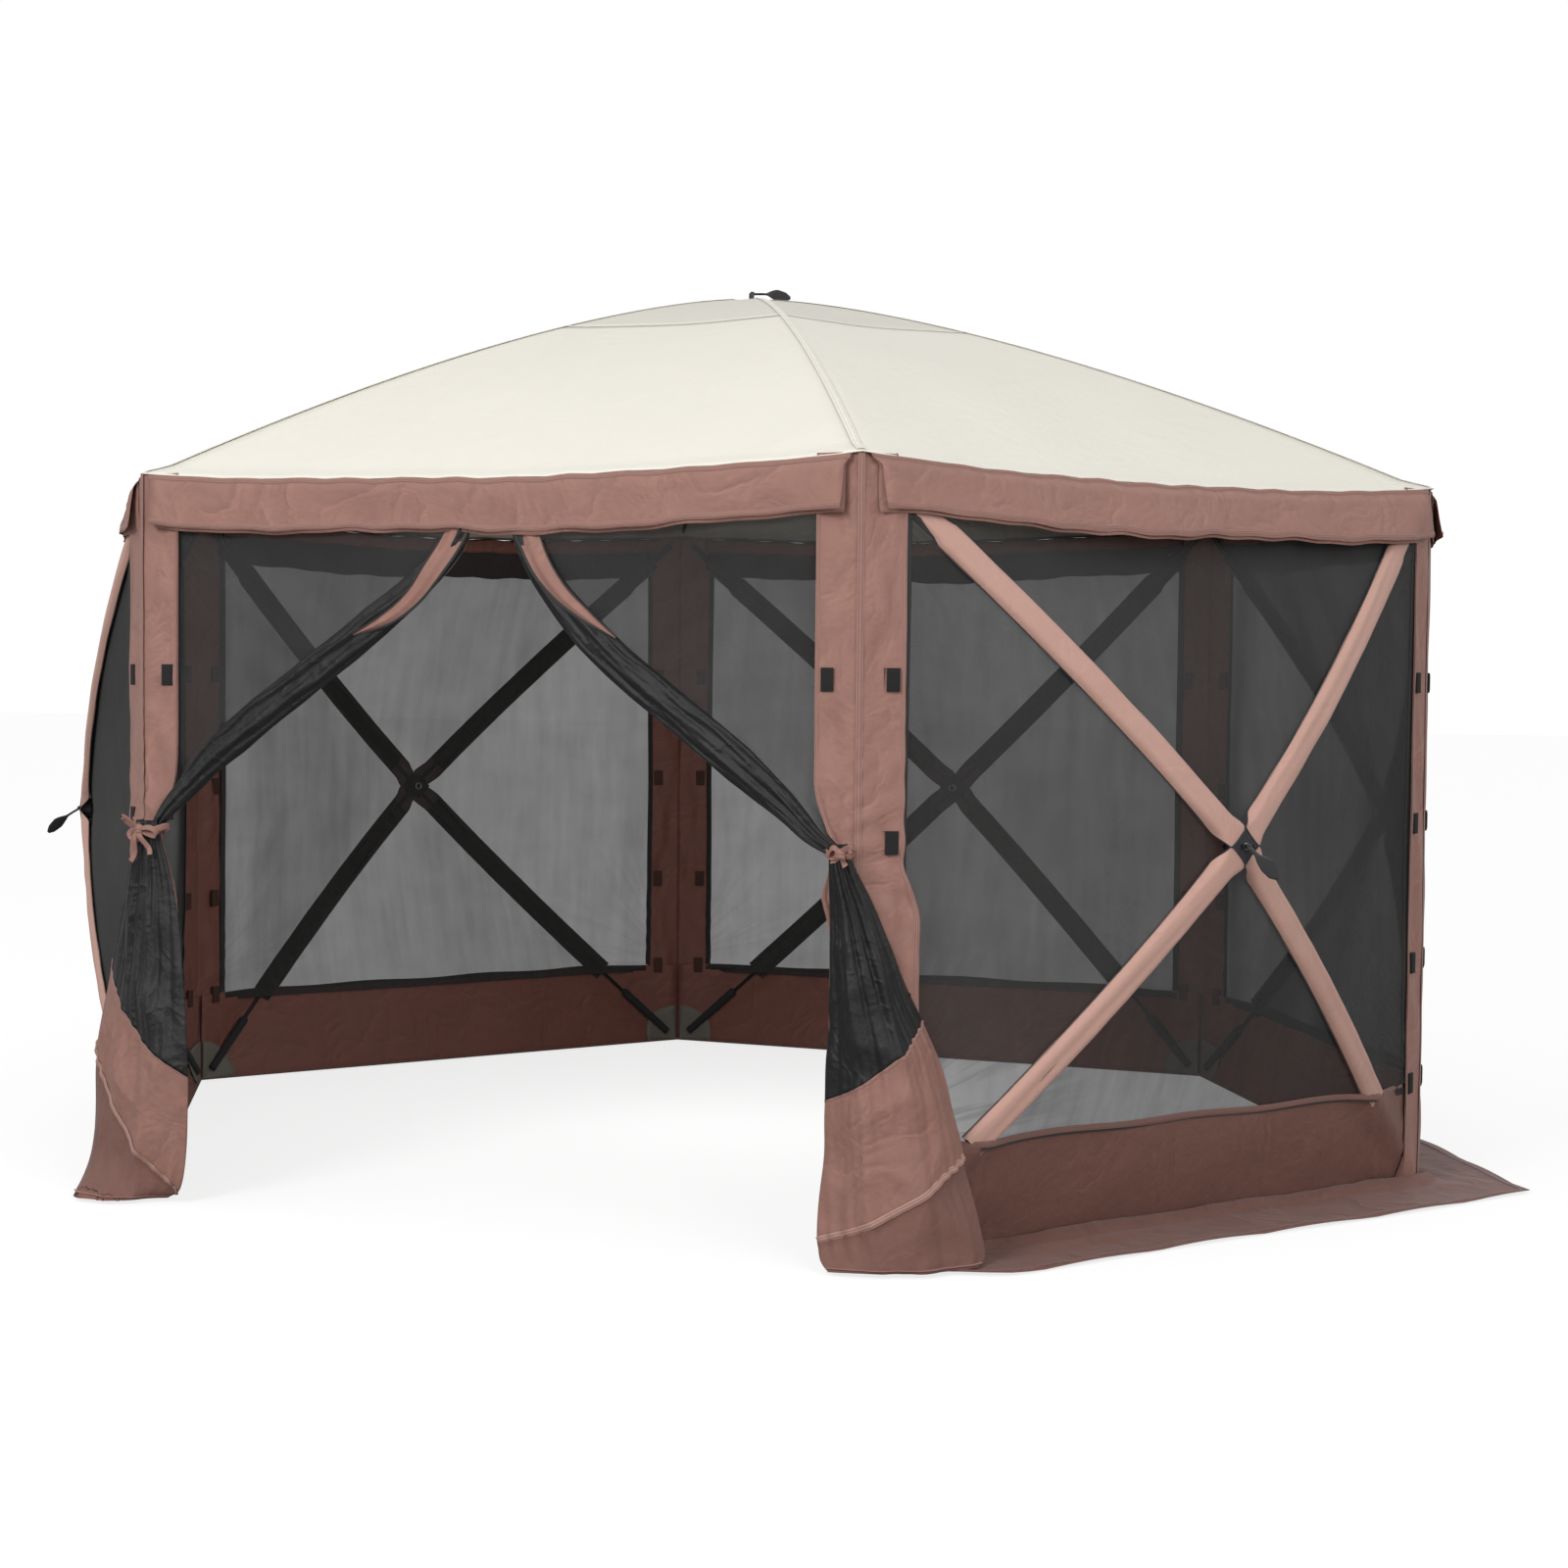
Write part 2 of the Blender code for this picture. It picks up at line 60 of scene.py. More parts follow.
CROWN_T = 0.340
POST_W = 0.090
SKIRT_W = 0.260
CORNERS = {"a": 240, "b": 300, "c": 0, "d": 60, "e": 120, "f": 180}
WALLS = {1: (330, "b", "c"), 2: (30, "c", "d"), 3: (90, "d", "e"), 4: (150, "e", "f"), 5: (210, "f", "a")}
SPOTS = {"tl": (-1, 1), "tr": (1, 1), "bl": (-1, -1), "br": (1, -1)}
Z3 = np.array([0.0, 0.0, 1.0])


def unit(deg):
    a = math.radians(deg)
    return np.array([math.cos(a), math.sin(a), 0.0])


def reach(s, z):
    s, z = np.asarray(s, float), np.asarray(z, float)
    up = np.where(z > HUB_Z, (z - HUB_Z) / (EAVE - HUB_Z), (HUB_Z - z) / HUB_Z)
    return np.clip(np.maximum(np.abs(s) / HALF, up), 0.0, 1.0)


def bulge(s, z):
    return BOW * (1.0 - reach(s, z) ** WALL_POW)


def wall_xyz(deg, s, z, off=0.0, bowed=True):
    """Points of a wall: s along it, z up, off outwards from its surface."""
    s, z, off = np.broadcast_arrays(np.asarray(s, float), np.asarray(z, float), np.asarray(off, float))
    out = AP + off + (bulge(s, z) if bowed else 0.0)
    flat = unit(deg)[:2], unit(deg + 90)[:2]
    return np.stack([flat[0][0] * out + flat[1][0] * s, flat[0][1] * out + flat[1][1] * s, z], -1)


def roof_z(t):
    return EAVE + (APEX - EAVE) * (1.0 - np.asarray(t, float) ** ROOF_POW)


def smooth(x):
    x = np.clip(x, 0.0, 1.0)
    return x * x * (3 - 2 * x)


def ripple(p, seed, size, count=7):
    """Soft seeded unevenness, about -1 to 1, over points p."""
    rng = np.random.default_rng(seed)
    total = np.zeros(p.shape[:-1])
    for _ in range(count):
        k = rng.normal(size=3)
        k *= 2 * math.pi / (size * rng.uniform(0.6, 1.7) * np.linalg.norm(k))
        total += np.sin(p @ k + rng.uniform(0, 6.28)) * rng.uniform(0.6, 1.0)
    return total / (count**0.5)


def crumpled(p, seed, size):
    """Sharp-backed seeded folds, about -1 to 1, over points p."""
    return 1.0 - 2.0 * np.minimum(np.abs(ripple(p, seed, size, 5)), 1.0)


# ---------------------------------------------------------------- mesh building
class Cloth:
    """Collects grids of points into one mesh, with map coordinates in metres."""

    def __init__(self):
        self.p, self.f, self.uv, self.m = [], [], [], []

    def grid(self, pts, uv=None, mat=0, keep=None, flip=False, wrap=False):
        rows, cols = pts.shape[:2]
        base = len(self.p)
        if uv is None:
            du = np.linalg.norm(np.diff(pts, axis=1), axis=2).mean(0)
            dv = np.linalg.norm(np.diff(pts, axis=0), axis=2).mean(1)
            u = np.concatenate([[0], np.cumsum(du)])
            v = np.concatenate([[0], np.cumsum(dv)])
            uv = np.stack(np.meshgrid(u, v), -1)
        self.p += pts.reshape(-1, 3).tolist()
        self.uv += np.asarray(uv, float).reshape(-1, 2).tolist()
        for i in range(rows - 1):
            for j in range(cols if wrap else cols - 1):
                if keep is not None and not keep[i, j]:
                    continue
                j2 = (j + 1) % cols
                q = [base + i * cols + j, base + i * cols + j2, base + (i + 1) * cols + j2, base + (i + 1) * cols + j]
                self.f.append(q[::-1] if flip else q)
                self.m.append(mat)
        return base

    def face(self, ids, mat=0):
        self.f.append(list(ids))
        self.m.append(mat)

    def make(self, name, mats, thick=0.0, offset=0.0, inner=None, weld=1e-5, away=None):
        mesh = bpy.data.meshes.new(name)
        if away is not None:
            self.face_away(np.asarray(away, float))
        mesh.from_pydata(self.p, [], self.f)
        layer = mesh.uv_layers.new(name="cloth")
        loops = np.zeros(len(mesh.loops), np.int32)
        mesh.loops.foreach_get("vertex_index", loops)
        layer.data.foreach_set("uv", np.asarray(self.uv, np.float32)[loops].ravel())
        for m in mats:
            mesh.materials.append(m)
        mesh.polygons.foreach_set("material_index", self.m)
        obj = bpy.data.objects.new(name, mesh)
        bpy.context.scene.collection.objects.link(obj)
        if weld:
            bm = bmesh.new()
            bm.from_mesh(mesh)
            bmesh.ops.remove_doubles(bm, verts=bm.verts, dist=weld)
            loose = [v for v in bm.verts if not v.link_faces]
            bmesh.ops.delete(bm, geom=loose, context="VERTS")
            bm.to_mesh(mesh)
            bm.free()
        if thick:
            mod = obj.modifiers.new("thick", "SOLIDIFY")
            mod.thickness, mod.offset, mod.use_even_offset = thick, offset, False
            if inner is not None:
                mod.material_offset = inner
            settle(obj)
        obj.data.polygons.foreach_set("use_smooth", [True] * len(obj.data.polygons))
        return obj

    def face_away(self, centre):
        """Turns every face so that it looks away from a point."""
        q = np.asarray(self.p)[np.array([f[:4] for f in self.f])]
        normal = np.cross(q[:, 2] - q[:, 0], q[:, 3] - q[:, 1])
        away = np.einsum("ij,ij->i", normal, q.mean(1) - centre) >= 0
        self.f = [f if ok else f[::-1] for f, ok in zip(self.f, away)]


def settle(obj):
    """Applies an object's modifiers."""
    dg = bpy.context.evaluated_depsgraph_get()
    mesh = bpy.data.meshes.new_from_object(obj.evaluated_get(dg))
    obj.modifiers.clear()
    obj.data = mesh


def follow(obj, weight):
    """Bakes a finished cloth's transform into its points; weight(points) is worked out but not used."""
    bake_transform(obj)
    pts = np.array([v.co for v in obj.data.vertices], float)
    np.clip(weight(pts), 0, 1).astype(np.float32)
    return obj


def follow_wall(obj, number):
    deg = WALLS[number][0]
    side = unit(deg + 90)
    hub = wall_xyz(deg, 0, HUB_Z, 0.0)
    edge = wall_xyz(deg, HALF, HUB_Z, 0.0)
    def weight(p):
        near = 1 - reach(p @ side, p[:, 2])
        return near + 0.020 * near**0.8

    return follow(obj, weight)


def roof_t(p):
    """0 at the roof's middle and 1 on the eave."""
    t = np.max([p @ unit(30 + 60 * k) for k in range(6)], axis=0) / AP
    return np.clip(t, 0, 1)


def follow_roof(obj):
    return follow(obj, lambda p: 1 - roof_t(p))


# ---------------------------------------------------------------- materials
class Nodes:
    def __init__(self, name):
        self.mat = bpy.data.materials.new(name)
        self.mat.use_nodes = True
        self.tree = self.mat.node_tree
        self.bsdf = self.tree.nodes["Principled BSDF"]
        self.out = self.tree.nodes["Material Output"]

    def new(self, kind, **inputs):
        node = self.tree.nodes.new(kind)
        for key, value in inputs.items():
            self.put(node.inputs[int(key[1:])] if key[0] == "_" else node.inputs[key.replace("_", " ")], value)
        return node

    def put(self, socket, value):
        if hasattr(value, "is_output") or hasattr(value, "links"):
            self.tree.links.new(value, socket)
        else:
            socket.default_value = value

    def math(self, op, a, b=0.0, c=0.0, clamp=False):
        node = self.tree.nodes.new("ShaderNodeMath")
        node.operation, node.use_clamp = op, clamp
        for i, v in enumerate((a, b, c)):
            self.put(node.inputs[i], v)
        return node.outputs[0]

    def mix(self, fac, a, b):
        node = self.tree.nodes.new("ShaderNodeMix")
        node.data_type = "RGBA"
        self.put(node.inputs[0], fac)
        self.put(node.inputs[6], a)
        self.put(node.inputs[7], b)
        return node.outputs[2]

    def noise(self, coords, scale, detail=3.0, rough=0.5):
        node = self.new("ShaderNodeTexNoise", Vector=coords, Scale=scale, Detail=detail, Roughness=rough)
        return node.outputs["Fac"]

    def crease(self, coords, scale):
        """Sharp-backed ridges, as crumpled cloth keeps."""
        node = self.new("ShaderNodeTexNoise", Vector=coords, Scale=scale, Detail=3.0, Roughness=0.5, Distortion=0.7)
        off = self.math("ABSOLUTE", self.math("SUBTRACT", node.outputs["Fac"], 0.5))
        return self.math("POWER", self.math("SUBTRACT", 1.0, self.math("MULTIPLY", off, 5.0, clamp=True)), 2.0)

    def object_coords(self):
        return self.tree.nodes.new("ShaderNodeTexCoord").outputs["Object"]

    def uv(self):
        node = self.tree.nodes.new("ShaderNodeUVMap")
        node.uv_map = "cloth"
        return node.outputs["UV"]

    def bump(self, height, distance, strength=1.0, normal=None):
        node = self.new("ShaderNodeBump", Height=height, Distance=distance, Strength=strength)
        if normal is not None:
            self.tree.links.new(normal, node.inputs["Normal"])
        return node.outputs["Normal"]


def rgb(c, k=1.0):
    return (c[0] * k, c[1] * k, c[2] * k, 1.0)


def woven(name, colour, rough=0.62, weave=0.0011, grain=0.05, sheen=0.12, bump=0.00012, uneven=0.0009,
          spec=0.35, crumple=9.0, painted_crease_shading=0.0):
    """Plain-woven cloth: two crossing sets of threads, cloudy colour, soft creases, and, when asked, painted light and
    shade across the creases.
    """
    n = Nodes(name)
    uv, obj = n.uv(), n.object_coords()
    split = n.new("ShaderNodeSeparateXYZ", Vector=uv)
    k = 2 * math.pi / weave
    warp = n.math("SINE", n.math("MULTIPLY", split.outputs[0], k))
    weft = n.math("SINE", n.math("MULTIPLY", split.outputs[1], k))
    cross = n.math("MULTIPLY", warp, weft)
    cloud = n.noise(obj, 5.0, 4.0, 0.6)
    fine = n.noise(obj, 260.0, 2.0, 0.6)
    soft = n.noise(obj, 22.0, 3.0, 0.55)
    crease = n.math("ADD", soft, n.math("MULTIPLY", n.crease(obj, crumple), 0.45))
    tone = n.math("ADD", n.math("MULTIPLY", cloud, 0.6), n.math("MULTIPLY", fine, 0.4))
    tone = n.math("ADD", tone, n.math("MULTIPLY", cross, 0.12), clamp=True)
    col = n.mix(tone, rgb(colour, 1 - 2.2 * grain), rgb(colour, 1 + 2.2 * grain))
    if painted_crease_shading:
        # painted light and shade: the crease pattern minus a copy shifted a few millimetres lightens one flank of each
        # crease and darkens the other, as a light from one side would
        moved = n.new("ShaderNodeMapping", Vector=obj, Location=(0.004, 0.004, -0.006)).outputs[0]
        lit = n.math("SUBTRACT", n.crease(obj, crumple), n.crease(moved, crumple))
        light = n.math("ADD", 0.5, n.math("MULTIPLY", lit, 0.5), clamp=True)
        shade = n.new("ShaderNodeMix")
        shade.data_type, shade.blend_type = "RGBA", "MULTIPLY"
        shade.inputs[0].default_value = 1.0
        n.put(shade.inputs[6], col)
        n.put(shade.inputs[7], n.mix(light, (1 - painted_crease_shading,) * 3 + (1,), (1 + painted_crease_shading,) * 3 + (1,)))
        col = shade.outputs[2]
    n.put(n.bsdf.inputs["Base Color"], col)
    n.put(n.bsdf.inputs["Roughness"], n.math("ADD", rough - 0.06, n.math("MULTIPLY", cloud, 0.12)))
    n.bsdf.inputs["Sheen Weight"].default_value = sheen
    n.bsdf.inputs["Sheen Roughness"].default_value = 0.4
    n.bsdf.inputs["Specular IOR Level"].default_value = spec
    folds = n.bump(crease, uneven * 4, 0.5)
    n.put(n.bsdf.inputs["Normal"], n.bump(n.math("ADD", cross, fine), bump, 0.6, folds))
    return n.mat


def seam(name, colour, thread, rows=(-0.45, 0.45), pitch=0.0042, rough=0.65):
    """A sewn strip: map u runs -1 to 1 across it and v in metres along it."""
    n = Nodes(name)
    split = n.new("ShaderNodeSeparateXYZ", Vector=n.uv())
    u, v = split.outputs[0], split.outputs[1]
    dash = n.math("LESS_THAN", n.math("FRACT", n.math("DIVIDE", v, pitch)), 0.7)
    line = None
    for row in rows:
        hit = n.math("LESS_THAN", n.math("ABSOLUTE", n.math("SUBTRACT", u, row)), 0.10)
        line = hit if line is None else n.math("MAXIMUM", line, hit)
    stitch = n.math("MULTIPLY", line, dash)
    pucker = n.math("MULTIPLY", line, n.math("SUBTRACT", 1.0, dash))
    cloud = n.noise(n.object_coords(), 60.0, 3.0)
    base = n.mix(cloud, rgb(colour, 0.88), rgb(colour, 1.08))
    base = n.mix(n.math("MULTIPLY", line, 0.35), base, rgb(colour, 0.6))
    n.put(n.bsdf.inputs["Base Color"], n.mix(n.math("MULTIPLY", stitch, 0.8), base, rgb(thread)))
    n.bsdf.inputs["Roughness"].default_value = rough
    n.bsdf.inputs["Sheen Weight"].default_value = 0.2
    height = n.math("SUBTRACT", n.math("MULTIPLY", stitch, 1.0), n.math("MULTIPLY", pucker, 0.8))
    n.put(n.bsdf.inputs["Normal"], n.bump(height, 0.0006, 0.7, n.bump(cloud, 0.0012, 0.5)))
    return n.mat


def screen(name, passes, passes_inside, thread):
    """Fine black insect screen: it closes up seen edge on and seen from inside, and creases run from its corners."""
    n = Nodes(name)
    geo = n.tree.nodes.new("ShaderNodeNewGeometry")
    dot = n.tree.nodes.new("ShaderNodeVectorMath")
    dot.operation = "DOT_PRODUCT"
    n.tree.links.new(geo.outputs["Normal"], dot.inputs[0])
    n.tree.links.new(geo.outputs["Incoming"], dot.inputs[1])
    facing = n.math("MAXIMUM", n.math("ABSOLUTE", dot.outputs["Value"]), 0.12)
    obj = n.object_coords()
    cloud = n.noise(obj, 3.0, 4.0, 0.55)
    split = n.new("ShaderNodeSeparateXYZ", Vector=n.uv())
    s, z = split.outputs[0], split.outputs[1]
    along = n.math("SUBTRACT", HALF, n.math("ABSOLUTE", s))
    away = n.math("SIGN", s)
    marks = None
    for height, fade, seed in ((BAND_Z, 0.62, 0.0), (EAVE - 0.05, 0.40, 7.0)):
        rise = n.math("SUBTRACT", z, height)
        turn = n.math("ARCTAN2", rise, n.math("ADD", along, 0.02))
        far = n.math("SQRT", n.math("ADD", n.math("MULTIPLY", rise, rise), n.math("MULTIPLY", along, along)))
        spot = n.new("ShaderNodeCombineXYZ")
        n.put(spot.inputs[0], n.math("MULTIPLY", turn, 3.6))
        n.put(spot.inputs[1], n.math("MULTIPLY", far, 0.9))
        n.put(spot.inputs[2], n.math("ADD", n.math("MULTIPLY", away, 3.1), seed))
        rays = n.noise(spot.outputs[0], 1.6, 3.0, 0.55)
        rays = n.math("MULTIPLY", n.math("ABSOLUTE", n.math("SUBTRACT", rays, 0.5)), 14.0)
        rays = n.math("SUBTRACT", 1.0, rays, clamp=True)
        rays = n.math("MULTIPLY", rays, n.math("SUBTRACT", 1.0, n.math("DIVIDE", far, fade), clamp=True))
        marks = rays if marks is None else n.math("MAXIMUM", marks, rays)
    drape = n.noise(n.new("ShaderNodeMapping", Vector=n.uv(), Scale=(9.0, 1.1, 1.0)).outputs[0], 3.0, 4.0, 0.55)
    weave = n.noise(n.new("ShaderNodeMapping", Vector=n.uv(), Scale=(1.0, 1.6, 1.0)).outputs[0], 5.0, 5.0, 0.62)
    tone = n.math("ADD", n.math("MULTIPLY", drape, 0.55), n.math("MULTIPLY", weave, 0.45))
    level = n.tree.nodes.new("ShaderNodeMix")
    n.put(level.inputs[0], geo.outputs["Backfacing"])
    n.put(level.inputs[2], passes)
    n.put(level.inputs[3], passes_inside)
    cover = n.math("MULTIPLY", level.outputs[0], n.math("ADD", 0.62, n.math("MULTIPLY", tone, 0.76)))
    marks = n.math("MULTIPLY", marks, n.math("SUBTRACT", 1.0, n.math("MULTIPLY", geo.outputs["Backfacing"], 0.72)))
    cover = n.math("MULTIPLY", cover, n.math("SUBTRACT", 1.0, n.math("MULTIPLY", marks, 0.46)))
    clear = n.math("POWER", n.math("MAXIMUM", cover, 0.02), n.math("POWER", facing, -0.7))
    n.put(n.bsdf.inputs["Alpha"], n.math("SUBTRACT", 1.0, clear, clamp=True))
    shade = n.math("ADD", n.math("MULTIPLY", cloud, 0.5), n.math("MULTIPLY", tone, 0.5))
    n.put(n.bsdf.inputs["Base Color"], n.mix(shade, (thread * 0.5,) * 3 + (1,), (thread * 1.5,) * 3 + (1,)))
    n.bsdf.inputs["Roughness"].default_value = 0.7
    n.bsdf.inputs["Specular IOR Level"].default_value = 0.15
    k = 2 * math.pi / 0.0016
    hole = n.math("MULTIPLY", n.math("SINE", n.math("MULTIPLY", s, k)), n.math("SINE", n.math("MULTIPLY", z, k)))
    soft = n.math("ADD", tone, n.math("MULTIPLY", marks, 0.5))
    n.put(n.bsdf.inputs["Normal"], n.bump(hole, 0.0001, 0.3, n.bump(soft, 0.006, 0.5)))
    n.mat.surface_render_method = "BLENDED"
    return n.mat


def moulded(name, colour, rough=0.45, scale=400.0, depth=0.00015, coat=0.0):
    n = Nodes(name)
    obj = n.object_coords()
    fine = n.noise(obj, scale, 3.0, 0.6)
    cloud = n.noise(obj, 14.0, 3.0, 0.5)
    n.put(n.bsdf.inputs["Base Color"], n.mix(cloud, rgb(colour, 0.8), rgb(colour, 1.3)))
    n.put(n.bsdf.inputs["Roughness"], n.math("ADD", rough - 0.08, n.math("MULTIPLY", fine, 0.16)))
    n.bsdf.inputs["Coat Weight"].default_value = coat
    n.put(n.bsdf.inputs["Normal"], n.bump(fine, depth, 0.5))
    return n.mat


def webbing(name, colour, pitch=0.0022):
    """Ribbed black webbing."""
    n = Nodes(name)
    split = n.new("ShaderNodeSeparateXYZ", Vector=n.uv())
    rib = n.math("SINE", n.math("MULTIPLY", split.outputs[1], 2 * math.pi / pitch))
    fine = n.noise(n.object_coords(), 500.0, 2.0)
    tone = n.math("ADD", n.math("MULTIPLY", rib, 0.2), fine, clamp=True)
    n.put(n.bsdf.inputs["Base Color"], n.mix(tone, rgb(colour, 0.7), rgb(colour, 1.6)))
    n.bsdf.inputs["Roughness"].default_value = 0.75
    n.bsdf.inputs["Sheen Weight"].default_value = 0.15
    n.put(n.bsdf.inputs["Normal"], n.bump(n.math("ADD", rib, fine), 0.0002, 0.6))
    return n.mat


TERRA = (0.305, 0.158, 0.127)
# painted shade: the wall bands, headers and ground skirt use the terra cloth darkened to about three fifths, for their
# low, downward-facing or shadowed places
TERRA_HEAVY_SHADED = (0.180, 0.084, 0.066)
# painted shade: the door falls' foot below its seam uses the terra cloth darkened to about three fifths
TERRA_FOOT_SHADED = (0.182, 0.087, 0.069)
# painted shade: the door falls' heavy band uses the terra cloth darkened to about nine tenths
TERRA_FALL_SHADED = (0.272, 0.137, 0.109)
# painted highlight: the pole sleeves use the same terra cloth made about twice as light, as if more strongly lit
TERRA_SLEEVE_LIT = (0.52, 0.31, 0.255)
TERRA_IN = (0.215, 0.084, 0.063)
CREAM = (0.80, 0.772, 0.690)
GREY_CREAM = (0.70, 0.675, 0.60)
M = {
    "terra": woven("terra_cloth", TERRA, uneven=0.0024, crumple=6.5, painted_crease_shading=0.30),
    "foot": woven("fall_foot_cloth_painted_shade", TERRA_FOOT_SHADED, 0.6, uneven=0.0018, crumple=5.0, painted_crease_shading=0.24),
    "fall": woven("fall_cloth_painted_shade", TERRA_FALL_SHADED, uneven=0.0024, crumple=6.5, painted_crease_shading=0.32),
    "heavy": woven("heavy_terra_cloth_painted_shade", TERRA_HEAVY_SHADED, 0.6, uneven=0.0022, crumple=5.0, painted_crease_shading=0.26),
    "terra_in": woven("terra_cloth_inside", TERRA_IN, 0.55, sheen=0.1, crumple=7.0, painted_crease_shading=0.28),
    "sleeve": woven("sleeve_cloth_painted_light", TERRA_SLEEVE_LIT, 0.55, sheen=0.15, uneven=0.0007, crumple=8.0, painted_crease_shading=0.08),
    "sleeve_in": woven("sleeve_lining", (0.014, 0.014, 0.010), 0.5, sheen=0.05),
    "cream": woven("roof_cloth", CREAM, 0.6, grain=0.010, sheen=0.05, uneven=0.0008, crumple=3.0, painted_crease_shading=0.035),
    "cream_in": woven("roof_cloth_inside", (0.50, 0.47, 0.40), 0.6, grain=0.02, sheen=0.0),
    "crown": woven("crown_cloth", GREY_CREAM, 0.6, grain=0.012, sheen=0.05, uneven=0.0008, crumple=4.0, painted_crease_shading=0.035),
    "screen": screen("insect_screen", 0.43, 0.192, 0.044),
    "sheer": screen("door_screen", 0.40, 0.40, 0.040),
    "roll": woven("rolled_screen", (0.0058, 0.0058, 0.0062), 0.42, sheen=0.06, uneven=0.0022, spec=0.4),
    "seam": seam("terra_seam", TERRA, (0.13, 0.06, 0.05)),
    "fall_seam": seam("fall_seam", (0.40, 0.225, 0.185), (0.13, 0.06, 0.05), pitch=0.006),
    "cream_seam": seam("roof_seam", CREAM, (0.66, 0.60, 0.47)),
    "binding": seam("black_binding", (0.012, 0.012, 0.011), (0.03, 0.03, 0.03)),
    "rod": moulded("rod_finish", (0.007, 0.007, 0.007), 0.5, 60.0, 0.0001),
    "hub": moulded("hub_plastic", (0.010, 0.010, 0.010), 0.42),
    "web": webbing("strap_webbing", (0.012, 0.012, 0.013)),
    "pad": moulded("hook_pad", (0.008, 0.008, 0.008), 0.9, 900.0, 0.0008),
    "pad_in": moulded("hook_pad_brown", (0.060, 0.026, 0.020), 0.9, 900.0, 0.0006),
    "patch": woven("corner_patch", (0.17, 0.155, 0.13), 0.6),
    "steel": moulded("ring_steel", (0.55, 0.55, 0.54), 0.3, 300.0, 0.00005),
}
M["patch_black"] = woven("hub_patch_cloth", (0.024, 0.026, 0.028), 0.6, sheen=0.1)
M["edging"] = seam("hub_patch_edging", (0.006, 0.006, 0.006), (0.10, 0.11, 0.11), rows=(0.0,))
# this hem seam is coloured with the darkened band cloth and a darker thread: painted shade
M["seam_heavy_edge"] = seam("heavy_edge_seam_painted_shade", TERRA_HEAVY_SHADED, (0.09, 0.04, 0.03))
M["steel"].node_tree.nodes["Principled BSDF"].inputs["Metallic"].default_value = 1.0

# ---------------------------------------------------------------- the walls
SIG_BAND = (HUB_Z - BAND_Z) / HUB_Z
SIG_HEAD = (1.690 - HUB_Z) / (EAVE - HUB_Z)
POST_EDGE = HALF - POST_W + 0.006
SIG_POST = POST_EDGE / HALF
SIGMA = np.array(sorted(set(np.linspace(0, 1, 27).round(4)) | {SIG_BAND, SIG_HEAD, SIG_POST}))
SIGN = np.concatenate([-SIGMA[::-1], SIGMA[1:]])


def wall_grid():
    s = SIGN * HALF
    z = np.where(SIGN < 0, HUB_Z + SIGN * HUB_Z, HUB_Z + SIGN * (EAVE - HUB_Z))
    return np.meshgrid(s, z)


def cloth_give(s, z, seed):
    """How far a wall's screen lies off its pole frame: slack between the poles, out to the posts at its sides."""
    r = reach(s, z)
    up = np.where(z > HUB_Z, (z - HUB_Z) / (EAVE - HUB_Z), (HUB_Z - z) / HUB_Z)
    side = np.abs(s) / HALF
    between = 1 - np.minimum(up, side) / np.maximum(np.maximum(up, side), 1e-6)
    slack = -0.020 * between * np.sin(np.pi * r) ** 0.8
    flat = wall_xyz(30, s, z, 0.0)
    calm = smooth(between / 0.16)
    fold = 0.0034 * ripple(flat * np.array([1, 1, 0.5]), seed, 0.30) * np.minimum(1, 6 * (1 - r)) * calm
    far = np.hypot(HALF - np.abs(s), z - BAND_Z)
    fan = np.arctan2(z - BAND_Z, HALF - np.abs(s) + 0.01)
    pleat = np.sin(fan * 23 + 2 * np.sin(fan * 6 + seed)) * 0.0030 * np.exp(-far / 0.40) * calm
    near_hub = np.exp(-((s**2 + (z - HUB_Z) ** 2) / 0.07**2))
    return slack + fold + pleat + 0.022 * to_post_edge(s) - 0.0078 - 0.0062 * near_hub


